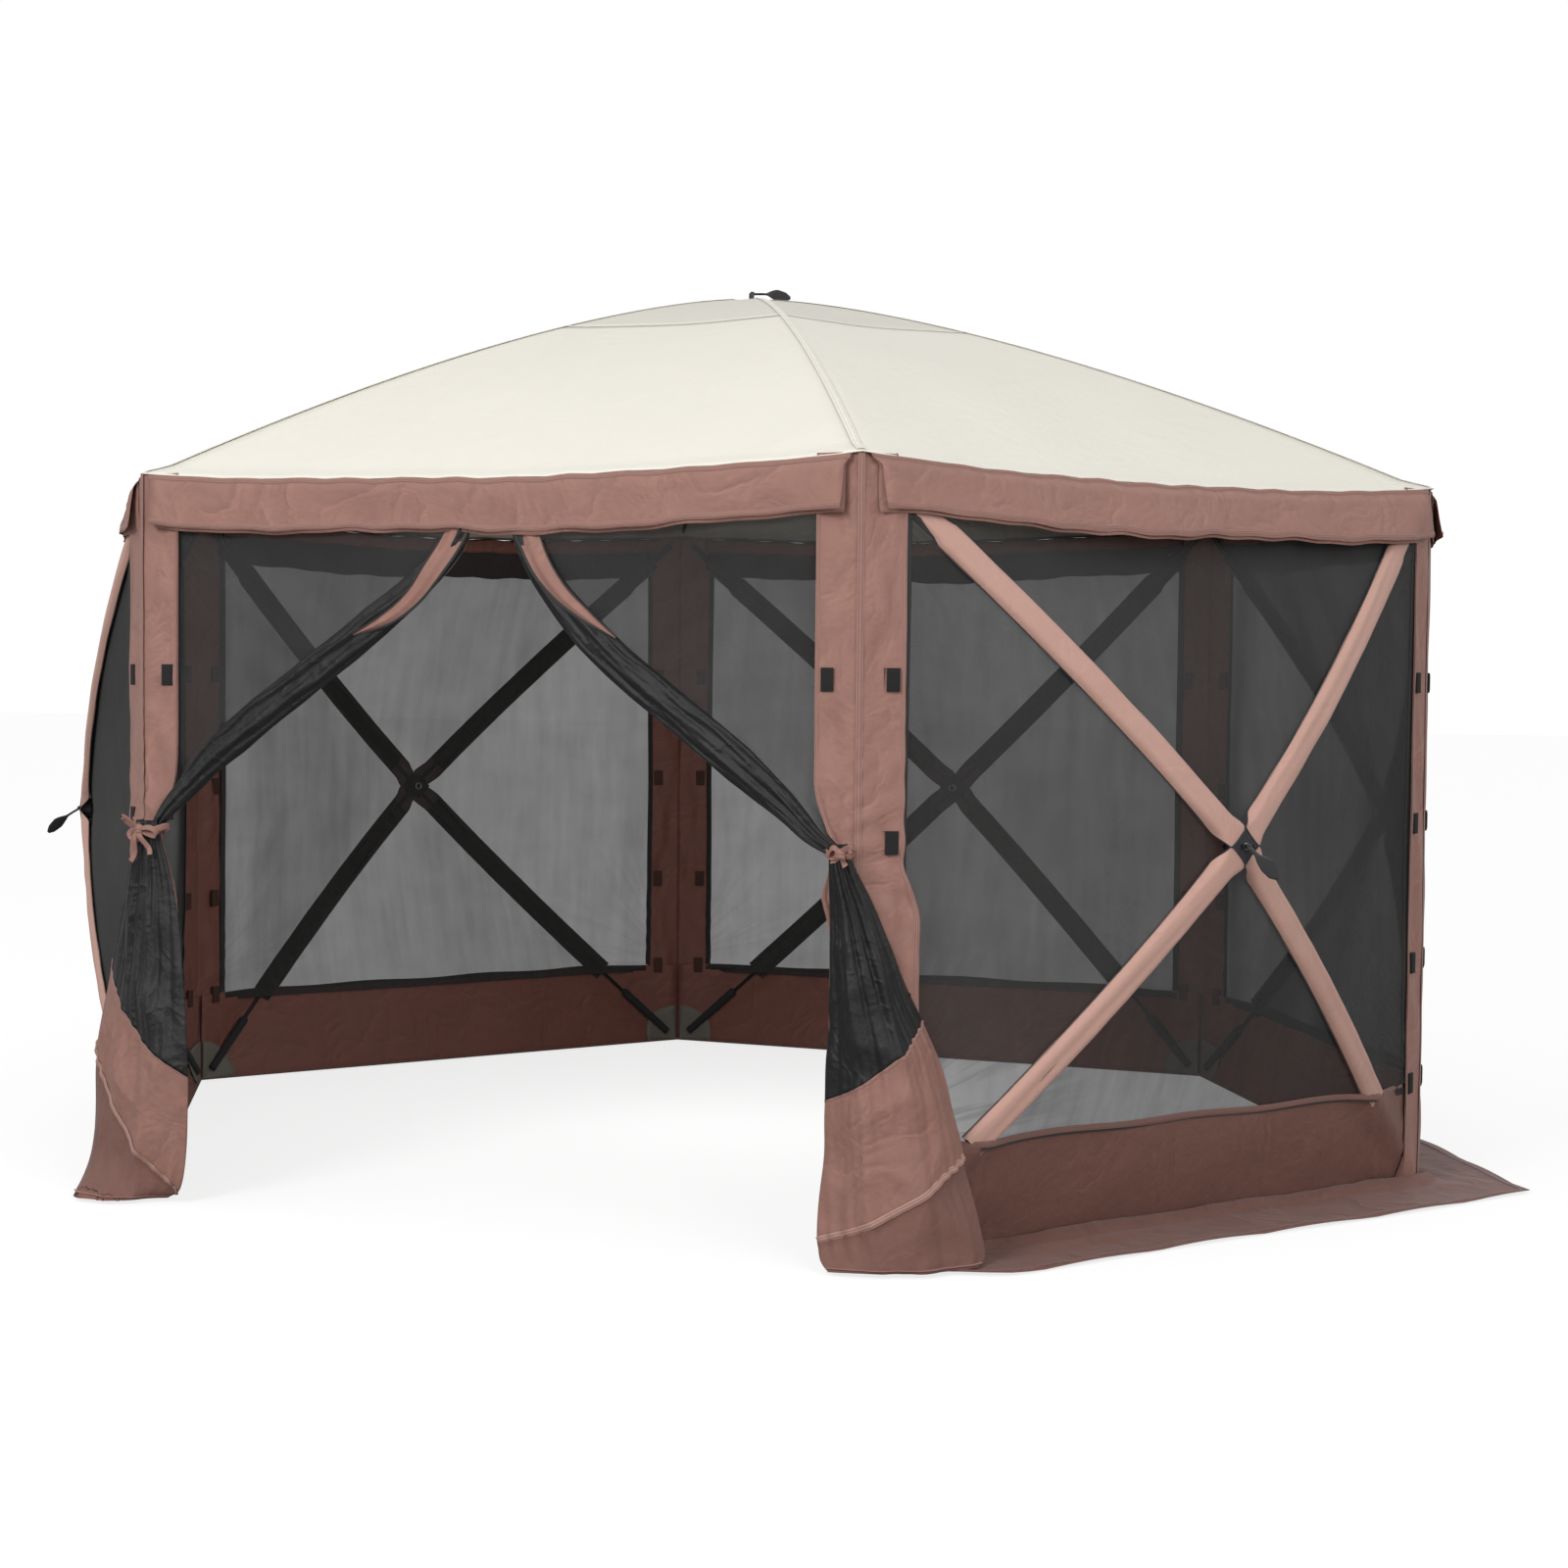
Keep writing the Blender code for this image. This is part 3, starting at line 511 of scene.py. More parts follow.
def make_wall(number):
    deg = WALLS[number][0]
    out = unit(deg)
    centre = (0, 0, 0.9)
    s, z = wall_grid()
    give = cloth_give(s, z, 40 + number)
    cs, cz = (s[:-1, :-1] + s[1:, 1:]) / 2, (z[:-1, :-1] + z[1:, 1:]) / 2
    uv = np.stack([s, z], -1)
    inside_posts = np.abs(cs) < POST_EDGE
    head = HUB_Z + SIG_HEAD * (EAVE - HUB_Z)
    gore = (deg - 30) // 60 % 6
    eave = roof_points(1.0, gore, (1 + s / HALF) / 2)[..., 2] - 0.007
    drop = (EAVE - eave) * smooth((z - 1.45) / (EAVE - 1.45))
    low = drop[..., None] * Z3
    body = Cloth()
    body.grid(wall_xyz(deg, s, z, give) - low, uv, 0, keep=(cz > BAND_Z - 0.034) & inside_posts)
    net = body.make(f"wall_screen_{number}", [M["screen"]], away=centre)
    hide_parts(f"wall_mesh_{number}")
    follow_wall(net, number)

    # the header strip under the valance uses the darkened band cloth: painted shade
    strip = Cloth()
    strip.grid(wall_xyz(deg, s, z, give - 0.004) - low, uv, 0, keep=(cz > head) & inside_posts)
    top = strip.make(f"wall_header_{number}", [M["heavy"], M["terra_in"]], 0.0012, -1.0, 1, away=centre)
    follow_wall(top, number)

    # the heavy band goes over the poles and is drawn in between them at its top edge
    rows = np.linspace(0, 1, 19)
    cols = np.linspace(-1, 1, 73)
    bs, bz = np.meshgrid(cols * (HALF - 0.001), 0.006 + rows * (BAND_Z - 0.006))
    pole_s = (HUB_Z - bz) / HUB_Z * HALF
    near = np.exp(-(((np.abs(bs) - pole_s) / 0.065) ** 2))
    lift = (bz / BAND_Z) ** 1.5
    off = 0.011 - 0.016 * lift * (1 - near) + to_post_edge(bs) * 0.016 * lift
    slack = ripple(wall_xyz(deg, bs, bz) * np.array([1, 1, 0.35]), 60 + number, 0.30)
    off = off + 0.0045 * slack * np.sin(np.pi * rows)[:, None]
    far = np.hypot(HALF - np.abs(bs), bz)
    fan = np.arctan2(bz, HALF - np.abs(bs))
    gather = np.sin(fan * 21 + 2 * np.sin(fan * 5 + number)) * np.exp(-far / 0.26) * smooth(far / 0.06)
    slung = np.minimum(cloth_give(bs, bz, 40 + number) + 0.0078 - 0.022 * to_post_edge(bs), 0)
    off = off + 0.0050 * gather + 0.6 * slung * lift
    sag = 0.0025 * np.sin(cols * math.pi * 4.2 + number) * lift
    pts = wall_xyz(deg, bs, bz, off)
    pts[..., 2] += sag - 0.003 * lift * near
    band = Cloth()
    band.grid(pts, np.stack([bs, bz], -1), 0)
    low = band.make(f"wall_foot_band_{number}", [M["heavy"], M["terra_in"]], 0.0014, -1.0, 1, away=centre)
    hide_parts(f"wall_band_{number}")
    follow_wall(low, number)

    # stitched hem along the band's top, and black binding round the screen on both its faces
    trim = Cloth()
    ribbon(trim, pts[-1] + out * 0.0004 - Z3 * 0.007, out, 0.012, 0.0009, 0)
    keep = np.abs(bs[-1]) < POST_EDGE
    ribbon(trim, (pts[-1] - out * 0.0022 - Z3 * 0.0095)[keep], -out, 0.018, 0.0016, 1)
    for sign in (-1, 1):
        zz = np.linspace(BAND_Z, EAVE - 0.04, 50)
        at = sign * (POST_EDGE - 0.007)
        hang = cloth_give(np.full(50, at), zz, 40 + number)
        for way, step in ((out, 0.0015), (-out, -0.0015)):
            ribbon(trim, wall_xyz(deg, at, zz, hang + step), way, 0.017, 0.0012, 1)
    edges = trim.make(f"wall_trim_{number}", [M["seam_heavy_edge"], M["binding"]], weld=0)
    follow_wall(edges, number)


def to_post_edge(s):
    return smooth((np.abs(s) - 0.69) / (POST_EDGE - 0.69))


def ribbon(cloth, line, normal, width, height, mat, cols=5, across=None):
    """A thin domed strip along a line of points; its map runs -1 to 1 across."""
    line = np.asarray(line, float)
    tang = np.gradient(line, axis=0)
    tang /= np.linalg.norm(tang, axis=1, keepdims=True) + 1e-12
    normal = np.broadcast_to(np.asarray(normal, float), line.shape)
    side = np.cross(tang, normal) if across is None else np.broadcast_to(across, line.shape)
    side = side / (np.linalg.norm(side, axis=1, keepdims=True) + 1e-12)
    x = np.linspace(-1, 1, cols)
    dome = 1 - np.abs(x) ** 2.5
    pts = line[:, None] + side[:, None] * (x * width / 2)[None, :, None] + normal[:, None] * (height * dome)[None, :, None]
    v = np.concatenate([[0], np.cumsum(np.linalg.norm(np.diff(line, axis=0), axis=1))])
    uv = np.stack(np.meshgrid(x, v), -1)
    cloth.grid(pts, uv, mat)


# ---------------------------------------------------------------- corner posts
PAD_Z = (1.25, 0.905, 0.56, 0.262)


def post_surface(key, v, z, extra=0.0):
    """A point of a folded corner strip: v from -1 (wall before) to 1 (wall after)."""
    v, z = np.broadcast_arrays(np.asarray(v, float), np.asarray(z, float))
    off = 0.0175 + extra
    tied = np.exp(-(((z - KNOT_Z) / np.where(z > KNOT_Z, 0.085, 0.110)) ** 2)) * 0.50
    tied = np.where(z < KNOT_Z, np.maximum(tied, 0.50 * smooth((KNOT_Z - z) / 0.2) * (key == "b")), tied)
    door_arm = {"a": v > 0, "b": v < 0}.get(key, np.zeros(v.shape, bool))
    loose = 0.0
    if key == "b":
        loose = 0.38 * smooth((KNOT_Z - 0.02 - z) / 0.12) * (1 - smooth((0.36 - z) / 0.20)) - 0.05
    wide = POST_W * np.abs(v) * np.where(door_arm, 1 - tied, 1.0 + loose)
    off = off + np.where(door_arm, 0.012 * tied * np.abs(v), 0.0)
    first, second = POST_WALLS[key]
    pa = wall_xyz(side_deg(first), HALF - wide, z, off, first is not None)
    pb = wall_xyz(side_deg(second), -(HALF - wide), z, off, second is not None)
    shift = math.tan(math.pi / 6) * off * np.clip(1 - np.abs(v) * 3, 0, 1)
    sa, sb = unit(side_deg(first) + 90), -unit(side_deg(second) + 90)
    return np.where((v < 0)[..., None], pa + sa * shift[..., None], pb + sb * shift[..., None])


POST_WALLS = {"a": (5, None), "b": (None, 1), "c": (1, 2), "d": (2, 3), "e": (3, 4), "f": (4, 5)}


def side_deg(number):
    """The way a wall faces; the door has no number."""
    return 270 if number is None else WALLS[number][0]


def with_wall(obj, number):
    """A piece sewn to a framed wall has its transform baked in place; at the doorway it is attached to the shell."""
    if number is None:
        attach(obj, "shell")
    else:
        follow_wall(obj, number)


def make_post(key):
    """A corner strip folded round the corner: an arm over each wall, joined by the seam down the corner."""
    out = unit(CORNERS[key])
    zs = np.linspace(0.004, EAVE - 0.0015, 120)
    for sign, number in zip((-1, 1), POST_WALLS[key]):
        arm = f"{key}_{'door' if number is None else number}"
        v, z = np.meshgrid(np.linspace(0, sign, 17), zs)
        base = post_surface(key, v, z)
        wave = ripple(base * np.array([1, 1, 0.6]), ord(key), 0.085, 9)
        slow = ripple(base * np.array([1, 1, 0.2]), ord(key) + 9, 0.30)
        pinch = np.exp(-np.abs(z - KNOT_Z) / 0.16) * (key in "ab")
        rays = np.sin((z - KNOT_Z) * 150 / (0.25 + np.abs(v - (1 if key == "a" else -1)))) * pinch
        amp = 0.0048 * np.sin(np.pi * np.abs(v)) + 0.0006
        extra = wave * amp + 0.0020 * slow * (1 - np.abs(v)) + 0.0012 * np.abs(v)
        extra = extra + (0.0036 if key == "b" else 0.0022) * rays
        folded = crumpled(base * np.array([1, 1, 0.7]), ord(key) + 40, 0.16)
        extra = extra + 0.0030 * folded * np.sin(np.pi * np.clip(np.abs(v), 0, 0.95) / 0.95)
        pts = post_surface(key, v, z, extra)
        cloth = Cloth()
        cloth.grid(pts, np.stack([v * POST_W, z], -1), 0)
        obj = cloth.make(f"post_strip_{arm}", [M["terra"], M["terra_in"]], 0.0014, -1.0, 1, away=(0, 0, 0.9))
        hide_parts(f"corner_post_{key}")
        with_wall(obj, number)
        trim = Cloth()
        ribbon(trim, pts[:, 15] + out * 0.0007, out, 0.011, 0.0012, 0)
        obj = trim.make(f"post_hem_{arm}", [M["seam"]], weld=0)
        with_wall(obj, number)
        pads = Cloth()
        for i, zc in enumerate(PAD_Z):
            if number is None and i:
                continue
            vv, zz = np.meshgrid(np.linspace(0.52, 0.83, 6) * sign, zc + np.linspace(-0.025, 0.025, 8))
            for extra, mat in ((0.0058, 0), (-0.0110 if zc < 0.3 else -0.0050, 1)):
                slab(pads, post_surface(key, vv, zz, extra), 0.0016 if mat == 0 else -0.0016, out, mat)
        obj = pads.make(f"post_pads_{arm}", [M["pad"], M["pad_in"]], weld=0)
        with_wall(obj, number)
    trim = Cloth()
    ribbon(trim, pts[:, 0] + out * 0.0007, out, 0.015, 0.0012, 0)
    obj = trim.make(f"post_seam_{key}", [M["seam"]], weld=0)
    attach(obj, "shell")


def slab(cloth, pts, height, out, mat):
    """A thin raised patch over a small grid of points."""
    rim = np.ones(pts.shape[:2], bool)
    rim[1:-1, 1:-1] = False
    lift = np.where(rim, 0.0, 1.0)[..., None] * out * height
    a = pts[1] - pts[0]
    cloth.grid(pts + lift + out * height * 0.6, np.stack(np.meshgrid(np.linspace(0, 0.035, pts.shape[1]), np.linspace(0, 0.06, pts.shape[0])), -1), mat)
    loop = [(0, j) for j in range(pts.shape[1])] + [(i, pts.shape[1] - 1) for i in range(1, pts.shape[0])]
    loop += [(pts.shape[0] - 1, j) for j in range(pts.shape[1] - 2, -1, -1)] + [(i, 0) for i in range(pts.shape[0] - 2, -1, -1)]
    ring = np.array([pts[i, j] for i, j in loop])
    cloth.grid(np.stack([ring - out * height * 2.6, ring + out * height * 0.6], 0), None, mat)


# ---------------------------------------------------------------- the roof
def roof_points(t, k, u, lift=0.0):
    """Gore k, u from 0 to 1 between its two ridges, t from 0 at the top to 1 at the eave."""
    t, u = np.broadcast_arrays(np.asarray(t, float), np.asarray(u, float))
    grown = R * t + 0.028 * smooth((t - 0.97) / 0.03)
    a, b = unit(60 * k), unit(60 * k + 60)
    flat = a * (1 - u)[..., None] + b * u[..., None]
    pts = flat * grown[..., None]
    mid = 4 * u * (1 - u)
    sag = -0.030 * mid**0.8 * t * (1.0 - 0.35 * t) - 0.012 * mid * smooth((t - 0.55) / 0.45)
    z = roof_z(t) + sag + lift
    fold = 0.0030 * ripple(pts * np.array([1.0, 1.0, 0.0]), 300 + k, 0.55) * np.minimum(1, 5 * u * (1 - u)) * smooth(t * 3)
    tight = 0.0022 * np.sin(u * math.pi * 26 + 2 * np.sin(t * 9 + k)) * smooth((t - 0.93) / 0.07) * mid
    pts[..., 2] += z + fold + tight
    return pts


def make_roof():
    canopy, crown, seams = Cloth(), Cloth(), Cloth()
    ts = np.concatenate([np.linspace(CROWN_T, 0.93, 30), np.linspace(0.945, 1.0, 7)])
    tc = np.linspace(0.028, CROWN_T, 16)
    us = np.linspace(0, 1, 33)
    for k in range(6):
        for cloth, rows in ((canopy, ts), (crown, tc)):
            u, t = np.meshgrid(us, rows)
            cloth.grid(roof_points(t, k, u), np.stack([(u - 0.5) * t * R, t * AP], -1), 0)
        ridge = roof_points(np.linspace(0.03, 0.995, 90), k, 0.0, 0.0006)
        slope = (APEX - EAVE) * ROOF_POW * np.linspace(0.03, 0.995, 90) ** (ROOF_POW - 1) / R
        ribbon(seams, ridge, Z3 + unit(60 * k) * slope[:, None], 0.018, 0.0012, 0)
        ring = roof_points(CROWN_T, k, np.linspace(0, 1, 30), 0.0006)
        slope = (APEX - EAVE) * ROOF_POW * CROWN_T ** (ROOF_POW - 1) / AP
        ribbon(seams, ring, Z3 + unit(60 * k + 30) * slope, 0.012, 0.0008, 0)
    under = (0, 0, 0)
    obj = canopy.make("canopy_cloth", [M["cream"], M["cream_in"]], 0.0012, -1.0, 1, weld=1e-4, away=under)
    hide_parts("roof_canopy")
    follow_roof(obj)
    obj = crown.make("crown_cloth", [M["crown"], M["cream_in"]], 0.0012, -1.0, 1, weld=1e-4, away=under)
    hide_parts("roof_crown")
    follow_roof(obj)
    obj = seams.make("roof_seams", [M["cream_seam"]], weld=0)
    follow_roof(obj)


def make_valance():
    sides = {"door": (270, False)} | {str(w): (d[0], True) for w, d in WALLS.items()}
    cols, rows = np.linspace(-1, 1, 73), np.linspace(0, 1, 15)
    c, r = np.meshgrid(cols, rows)
    for name, (deg, bowed) in sides.items():
        gore = (deg - 30) // 60 % 6
        normal = unit(deg)
        cloth, trim = Cloth(), Cloth()
        for layer in (0, 1):
            s = c * (HALF - 0.022 - 0.004 * r)
            edge = roof_points(1.0, gore, (1 + s / HALF) / 2) + normal * 0.0012
            drop = 0.119 + 0.004 * np.sin(cols * 6 + deg) + 0.0020 * np.sin(cols * 19 + deg) + 0.007 * layer
            z = edge[..., 2] - 0.001 - r * drop
            wave = ripple(np.stack([c * 0.9, r * 0.2, c * 0], -1), deg + layer, 0.30)
            out = 0.031 + 0.004 * r * wave - 0.007 * layer * smooth(r * 3)
            out = out + 0.0026 * crumpled(np.stack([c * 0.9, r * 0.12, c * 0], -1), deg + 7, 0.22) * smooth(r * 2)
            out = out + 0.020 * smooth((np.abs(c) - 0.92) / 0.08) * r * (1 - layer)
            hang = wall_xyz(deg, s, np.minimum(z, EAVE), out, bowed)
            turn = smooth(r / 0.22)[..., None]
            pts = edge * (1 - turn) + hang * turn
            pts[..., 2] = z
            cloth.grid(pts, np.stack([s, z], -1), 0)
            if not layer:
                ribbon(trim, pts[-2] + normal * 0.0006, normal, 0.011, 0.0010, 0)
                ribbon(trim, pts[1] + normal * 0.0010, normal, 0.010, 0.0010, 0)
        mats = [M["terra"], M["terra_in"]]
        obj = cloth.make(f"valance_{name}", mats, 0.0012, -1.0, 1, away=(0, 0, 1.62))
        if name == "door":
            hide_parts("roof_valance")
        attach(obj, "shell")
        obj = trim.make(f"valance_seams_{name}", [M["seam"]], weld=0)
        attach(obj, "shell")


# ---------------------------------------------------------------- poles, sleeves and hubs
def spoke(number, spot):
    deg = WALLS[number][0]
    right, up = SPOTS[spot]
    rise = EAVE - HUB_Z if up > 0 else -HUB_Z
    along = unit(deg + 90) * right * HALF + Z3 * rise
    span = np.linalg.norm(along)
    hub = wall_xyz(deg, 0, HUB_Z, 0.0)
    return deg, hub, along / span, span


def make_sleeve(number, spot):
    deg, hub, along, span = spoke(number, spot)
    out = unit(deg)
    across = np.cross(along, out)
    low = (HUB_Z - BAND_Z) / HUB_Z
    last = 0.895 if spot[0] == "t" else low + 0.022
    first = 0.010 / span
    t = first + (last - first) * np.linspace(0, 1, 72) ** 1.35
    r = t * span
    line = hub + along * r[:, None] + out * (-BOW * t**WALL_POW)[:, None]
    half = np.minimum(0.0335, r * 0.985)
    if spot[0] == "t":
        half = np.where(t > 0.80, 0.0275, half)
    x = np.linspace(-1, 1, 17)
    over_hub = (1 - smooth((r - 0.034) / 0.17))[:, None]
    edge = -0.0098 + 0.0243 * (1 - smooth((r - 0.034) / 0.050))[:, None]
    middle = 0.0068 + 0.0081 * over_hub
    dome = edge + (middle - edge) * (1 - np.abs(x) ** 6)
    pts = line[:, None] + across * (x[None, :, None] * half[:, None, None])
    wob = 0.0010 * ripple(pts, number * 7 + ord(spot[0]) + ord(spot[1]), 0.12)
    crease = 0.0009 * np.sin(x * 6 + 1.4 * np.sin(t * 8 + number)[:, None]) * (1 - np.abs(x))
    pts = pts + out * (dome + (wob + crease) * (1 - over_hub))[..., None]
    uv = np.stack(np.meshgrid(x * 0.032, r), -1)
    cloth = Cloth()
    cloth.grid(pts, uv, 0)
    for wide, deep in ((0.985, 0.0066), (0.70, 0.0118)):
        tucked = x[None, :, None] * half[:, None, None] * wide
        back = line[:, None] + across * tucked - out * (deep - 0.0050 * (wide < 0.9) * x**8)[None, :, None]
        cloth.grid(back[12:], uv[12:], 1)
    obj = cloth.make(f"pole_sleeve_{number}_{spot}", [M["sleeve"], M["sleeve_in"]], weld=0)
    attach(obj, f"wall_pole_{number}_{spot}")
    trim = Cloth()
    for col in (0, 16):
        edge = pts[:, col] * 0.96 + pts[:, col - 1 if col else 1] * 0.04
        ribbon(trim, edge + out * 0.0004, out, 0.0036, 0.0010, 0)
    obj = trim.make(f"sleeve_seams_{number}_{spot}", [M["binding"]], weld=0)
    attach(obj, f"wall_pole_{number}_{spot}")
    make_tip(number, spot, hub, along, span, out)


def make_tip(number, spot, hub, along, span, out):
    """The black pocket that holds a pole's end."""
    start, wide, behind = (0.80, 0.0145, 0.004) if spot[0] == "b" else (0.86, 0.0100, 0.0075)
    t = np.linspace(start, 1 - 0.050 / span, 26)
    line = hub + along * (t * span)[:, None] + out * (-BOW * t**WALL_POW)[:, None] - out * behind
    size = wide * np.clip(np.minimum((t - start + 0.003) / 0.004, 1), 0.5, 1) * np.interp(t, [0.8, 0.97], [1.0, 0.85])
    cloth = Cloth()
    tube_line(cloth, line, size, 0, 14, 0.80, out)
    obj = cloth.make(f"pole_pocket_{number}_{spot}", [M["web"]], weld=0)
    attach(obj, f"wall_pole_{number}_{spot}")



def make_hub_patch(number):
    """A thin four-pointed patch over the crossing, with its stitched rim and a small ring for the pull strap."""
    deg = WALLS[number][0]
    out, side = unit(deg), unit(deg + 90)
    centre = wall_xyz(deg, 0, HUB_Z, 0.0)
    cloth = Cloth()
    rings, count = np.linspace(0, 1, 9), 96
    ang = np.linspace(0, 2 * math.pi, count + 1)[:-1]
    power = 0.90
    shape = 1 / (np.abs(np.cos(ang)) ** power + np.abs(np.sin(ang)) ** power) ** (1 / power)
    for way, depth in ((1, 0.0163), (-1, 0.0165)):
        q = rings[:, None] * shape[None]
        lift = depth - 0.0006 * rings[:, None] ** 2 + 0.0003 * np.sin(ang * 8)[None] * rings[:, None]
        pts = centre + side * (q * np.cos(ang) * 0.0445)[..., None] + Z3 * (q * np.sin(ang) * 0.0435)[..., None]
        cloth.grid(pts + out * way * lift[..., None], None, 0, wrap=True)
    rim = centre + side * (shape * np.cos(ang) * 0.0425)[:, None] + Z3 * (shape * np.sin(ang) * 0.0415)[:, None]
    ribbon(cloth, np.concatenate([rim, rim[:2]]) + out * 0.0161, out, 0.0024, 0.0012, 1)
    obj = cloth.make(f"hub_patch_{number}", [M["patch_black"], M["edging"]], 0.0010, 0.0, weld=0)
    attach(obj, f"wall_hub_{number}")
    ring = Cloth()
    a = np.linspace(0, 2 * math.pi, 30)
    for size, place in ((0.0070, centre + out * 0.0172), (0.0100, centre - out * 0.0190)):
        loop = place + side * (np.cos(a) * size)[:, None] + Z3 * (np.sin(a) * size)[:, None]
        tube_line(ring, loop, 0.0014, 0, 8, 1.0, out)
    obj = ring.make(f"hub_ring_{number}", [M["steel"]], weld=0)
    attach(obj, f"wall_hub_{number}")


def leaf_strap(name, node, body, pivot, side, way, lift, twist=0.9):
    """A pull strap: webbing folded into a loop round its bar, then a soft leaf that turns as it hangs."""
    d = np.linspace(0, 1, 34)
    half = np.interp(d, [0, 0.10, 0.25, 0.42, 0.65, 0.87, 1.0], [0.0085, 0.0068, 0.0070, 0.0135, 0.0165, 0.0130, 0.0035])
    line = pivot + way * (0.004 + d * 0.104)[:, None] + lift * (0.004 * np.sin(d * math.pi))[:, None]
    turn = twist * smooth((d - 0.22) / 0.45)
    flat = side * np.cos(turn)[:, None] + lift * np.sin(turn)[:, None]
    face = lift * np.cos(turn)[:, None] - side * np.sin(turn)[:, None]
    x = np.linspace(-1, 1, 9)
    cloth = Cloth()
    for sign in (1, -1):
        dome = sign * (0.0010 + 0.0016 * (1 - x**2))
        pts = line[:, None] + flat[:, None] * (x[None, :, None] * half[:, None, None])
        cloth.grid(pts + face[:, None] * dome[None, :, None], np.stack(np.meshgrid(x * 0.015, d * 0.11), -1), 0)
    for edge in (-1, 1):
        rim = line + flat * (edge * half)[:, None]
        cloth.grid(np.stack([rim + face * 0.0010, rim - face * 0.0010], 1), None, 0)
    a = np.linspace(0.35, 2 * math.pi - 0.35, 22)
    ring = way[None] * (np.cos(a) * 0.0052)[:, None] + lift[None] * (np.sin(a) * 0.0052)[:, None]
    pts = pivot + ring[:, None] + side * (np.linspace(-1, 1, 5) * 0.0088)[None, :, None]
    cloth.grid(pts, None, 0)
    obj = cloth.make(name, [M["web"]], 0.0008, 0.0, weld=0)
    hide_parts(node)
    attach(obj, body)


def make_straps():
    droop = math.radians(38)
    for number in WALLS:
        deg = WALLS[number][0]
        out, side = unit(deg), unit(deg + 90)
        pivot = wall_xyz(deg, 0, HUB_Z, 0.012 + 0.010)
        way = out * math.cos(droop) - Z3 * math.sin(droop)
        lift = out * math.sin(droop) + Z3 * math.cos(droop)
        leaf_strap(f"pull_strap_{number}", f"wall_strap_{number}", f"wall_strap_{number}", pivot, side, way, lift)
    droop = math.radians(5)
    way = unit(30) * math.cos(droop) - Z3 * math.sin(droop)
    lift = unit(30) * math.sin(droop) + Z3 * math.cos(droop)
    pivot = np.array([0, 0, APEX - 0.016 + 0.012 + 0.020])
    leaf_strap("pull_strap_roof", "roof_strap", "roof_strap", pivot, unit(120), way, lift, 1.25)


def skin_cad():
    """Gives the CAD's hubs and poles their finish; the other CAD nodes keep theirs."""
    for name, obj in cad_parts.items():
        node = bpy.data.objects.get(obj) if isinstance(obj, str) else obj
        mat = M["hub"] if "hub" in name else M["rod"] if "pole" in name else M["web"]
        if "hub" in name or "pole" in name:
            node.data.materials.clear()
            node.data.materials.append(mat)


# ---------------------------------------------------------------- ground skirt
def make_skirt():
    cloth = Cloth()
    order = ["b", "c", "d", "e", "f", "a"]
    cols_each, rows = 40, 15
    line_in, line_out = [], []
    for i in range(5):
        deg = WALLS[i + 1][0]
        for j in range(cols_each + (1 if i == 4 else 0)):
            f = j / cols_each
            s = (2 * f - 1) * HALF
            n, e = unit(deg), unit(deg + 90)
            line_in.append(n * (AP + 0.004) + e * s * (1 + 0.0026))
            stretch = 1 + SKIRT_W * math.tan(math.pi / 6) / HALF
            sl = s * stretch
            if i == 0 and f < 0.5:
                sl = s
            if i == 4 and f > 0.5:
                sl = s
            tip = 1.0
            if i == 0:
                tip = 0.45 + 0.55 * smooth(f / 0.14)
            if i == 4:
                tip = 1 - 0.35 * smooth((f - 0.25) / 0.60)
            line_out.append(n * (AP + SKIRT_W * tip) + e * sl)
    a, b = np.array(line_in), np.array(line_out)
    r = np.linspace(0, 1, rows)
    pts = a[None] * (1 - r)[:, None, None] + b[None] * r[:, None, None]
    along = np.concatenate([[0], np.cumsum(np.linalg.norm(np.diff(b, axis=0), axis=1))])
    height = 0.0045 + 0.007 * np.abs(ripple(pts, 5, 0.16)) * np.sin(np.pi * r)[:, None] ** 0.7
    roll = 0.026 * np.exp(-(((r - 0.13) / 0.065) ** 2))[:, None] * (1 + 0.25 * ripple(pts, 8, 0.5))
    roll = roll + 0.010 * np.exp(-(((r - 0.42) / 0.10) ** 2))[:, None] * (0.5 + 0.5 * ripple(pts, 9, 0.6))
    edge = 0.005 * np.abs(np.sin(along * 9)) * smooth((r - 0.8) / 0.2)[:, None]
    pts[..., 2] = height + roll + edge
    rad = pts[..., :2] / np.linalg.norm(pts[..., :2], axis=-1, keepdims=True)
    pts[..., :2] += rad * (0.006 * np.sin(along * 5.3)[None] * smooth((r - 0.4) / 0.6)[:, None] - 0.006 * r[:, None])[..., None]
    uv = np.stack(np.meshgrid(along, r * SKIRT_W), -1)
    cloth.grid(pts, uv, 0)
    obj = cloth.make("skirt_cloth", [M["heavy"], M["terra_in"]], 0.0014, -1.0, 1, away=(0, 0, -60))
    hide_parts("ground_skirt")
    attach(obj, "shell")
    trim = Cloth()
    ribbon(trim, pts[-2] + Z3 * 0.0005, Z3, 0.010, 0.0010, 0)
    obj = trim.make("skirt_hem", [M["seam_heavy_edge"]], weld=0)
    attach(obj, "shell")


def make_corner_patches(number):
    """Quarter-round patches inside a wall's band, one at each of its corners; the doorway's corners have none."""
    patches = Cloth()
    for key, sign in zip(WALLS[number][1:], (-1, 1)):
        if key in "ab":
            continue
        far, turn = np.meshgrid(np.linspace(0.0, 0.115, 7), np.linspace(0, math.pi / 2, 10))
        s = sign * (HALF - 0.004 - far * np.cos(turn))
        z = 0.008 + far * np.sin(turn)
        patches.grid(wall_xyz(WALLS[number][0], s, z, 0.0050), np.stack([s, z], -1), 0)
    obj = patches.make(f"corner_patches_{number}", [M["patch"]], 0.0012, 0.0, weld=0)
    follow_wall(obj, number)


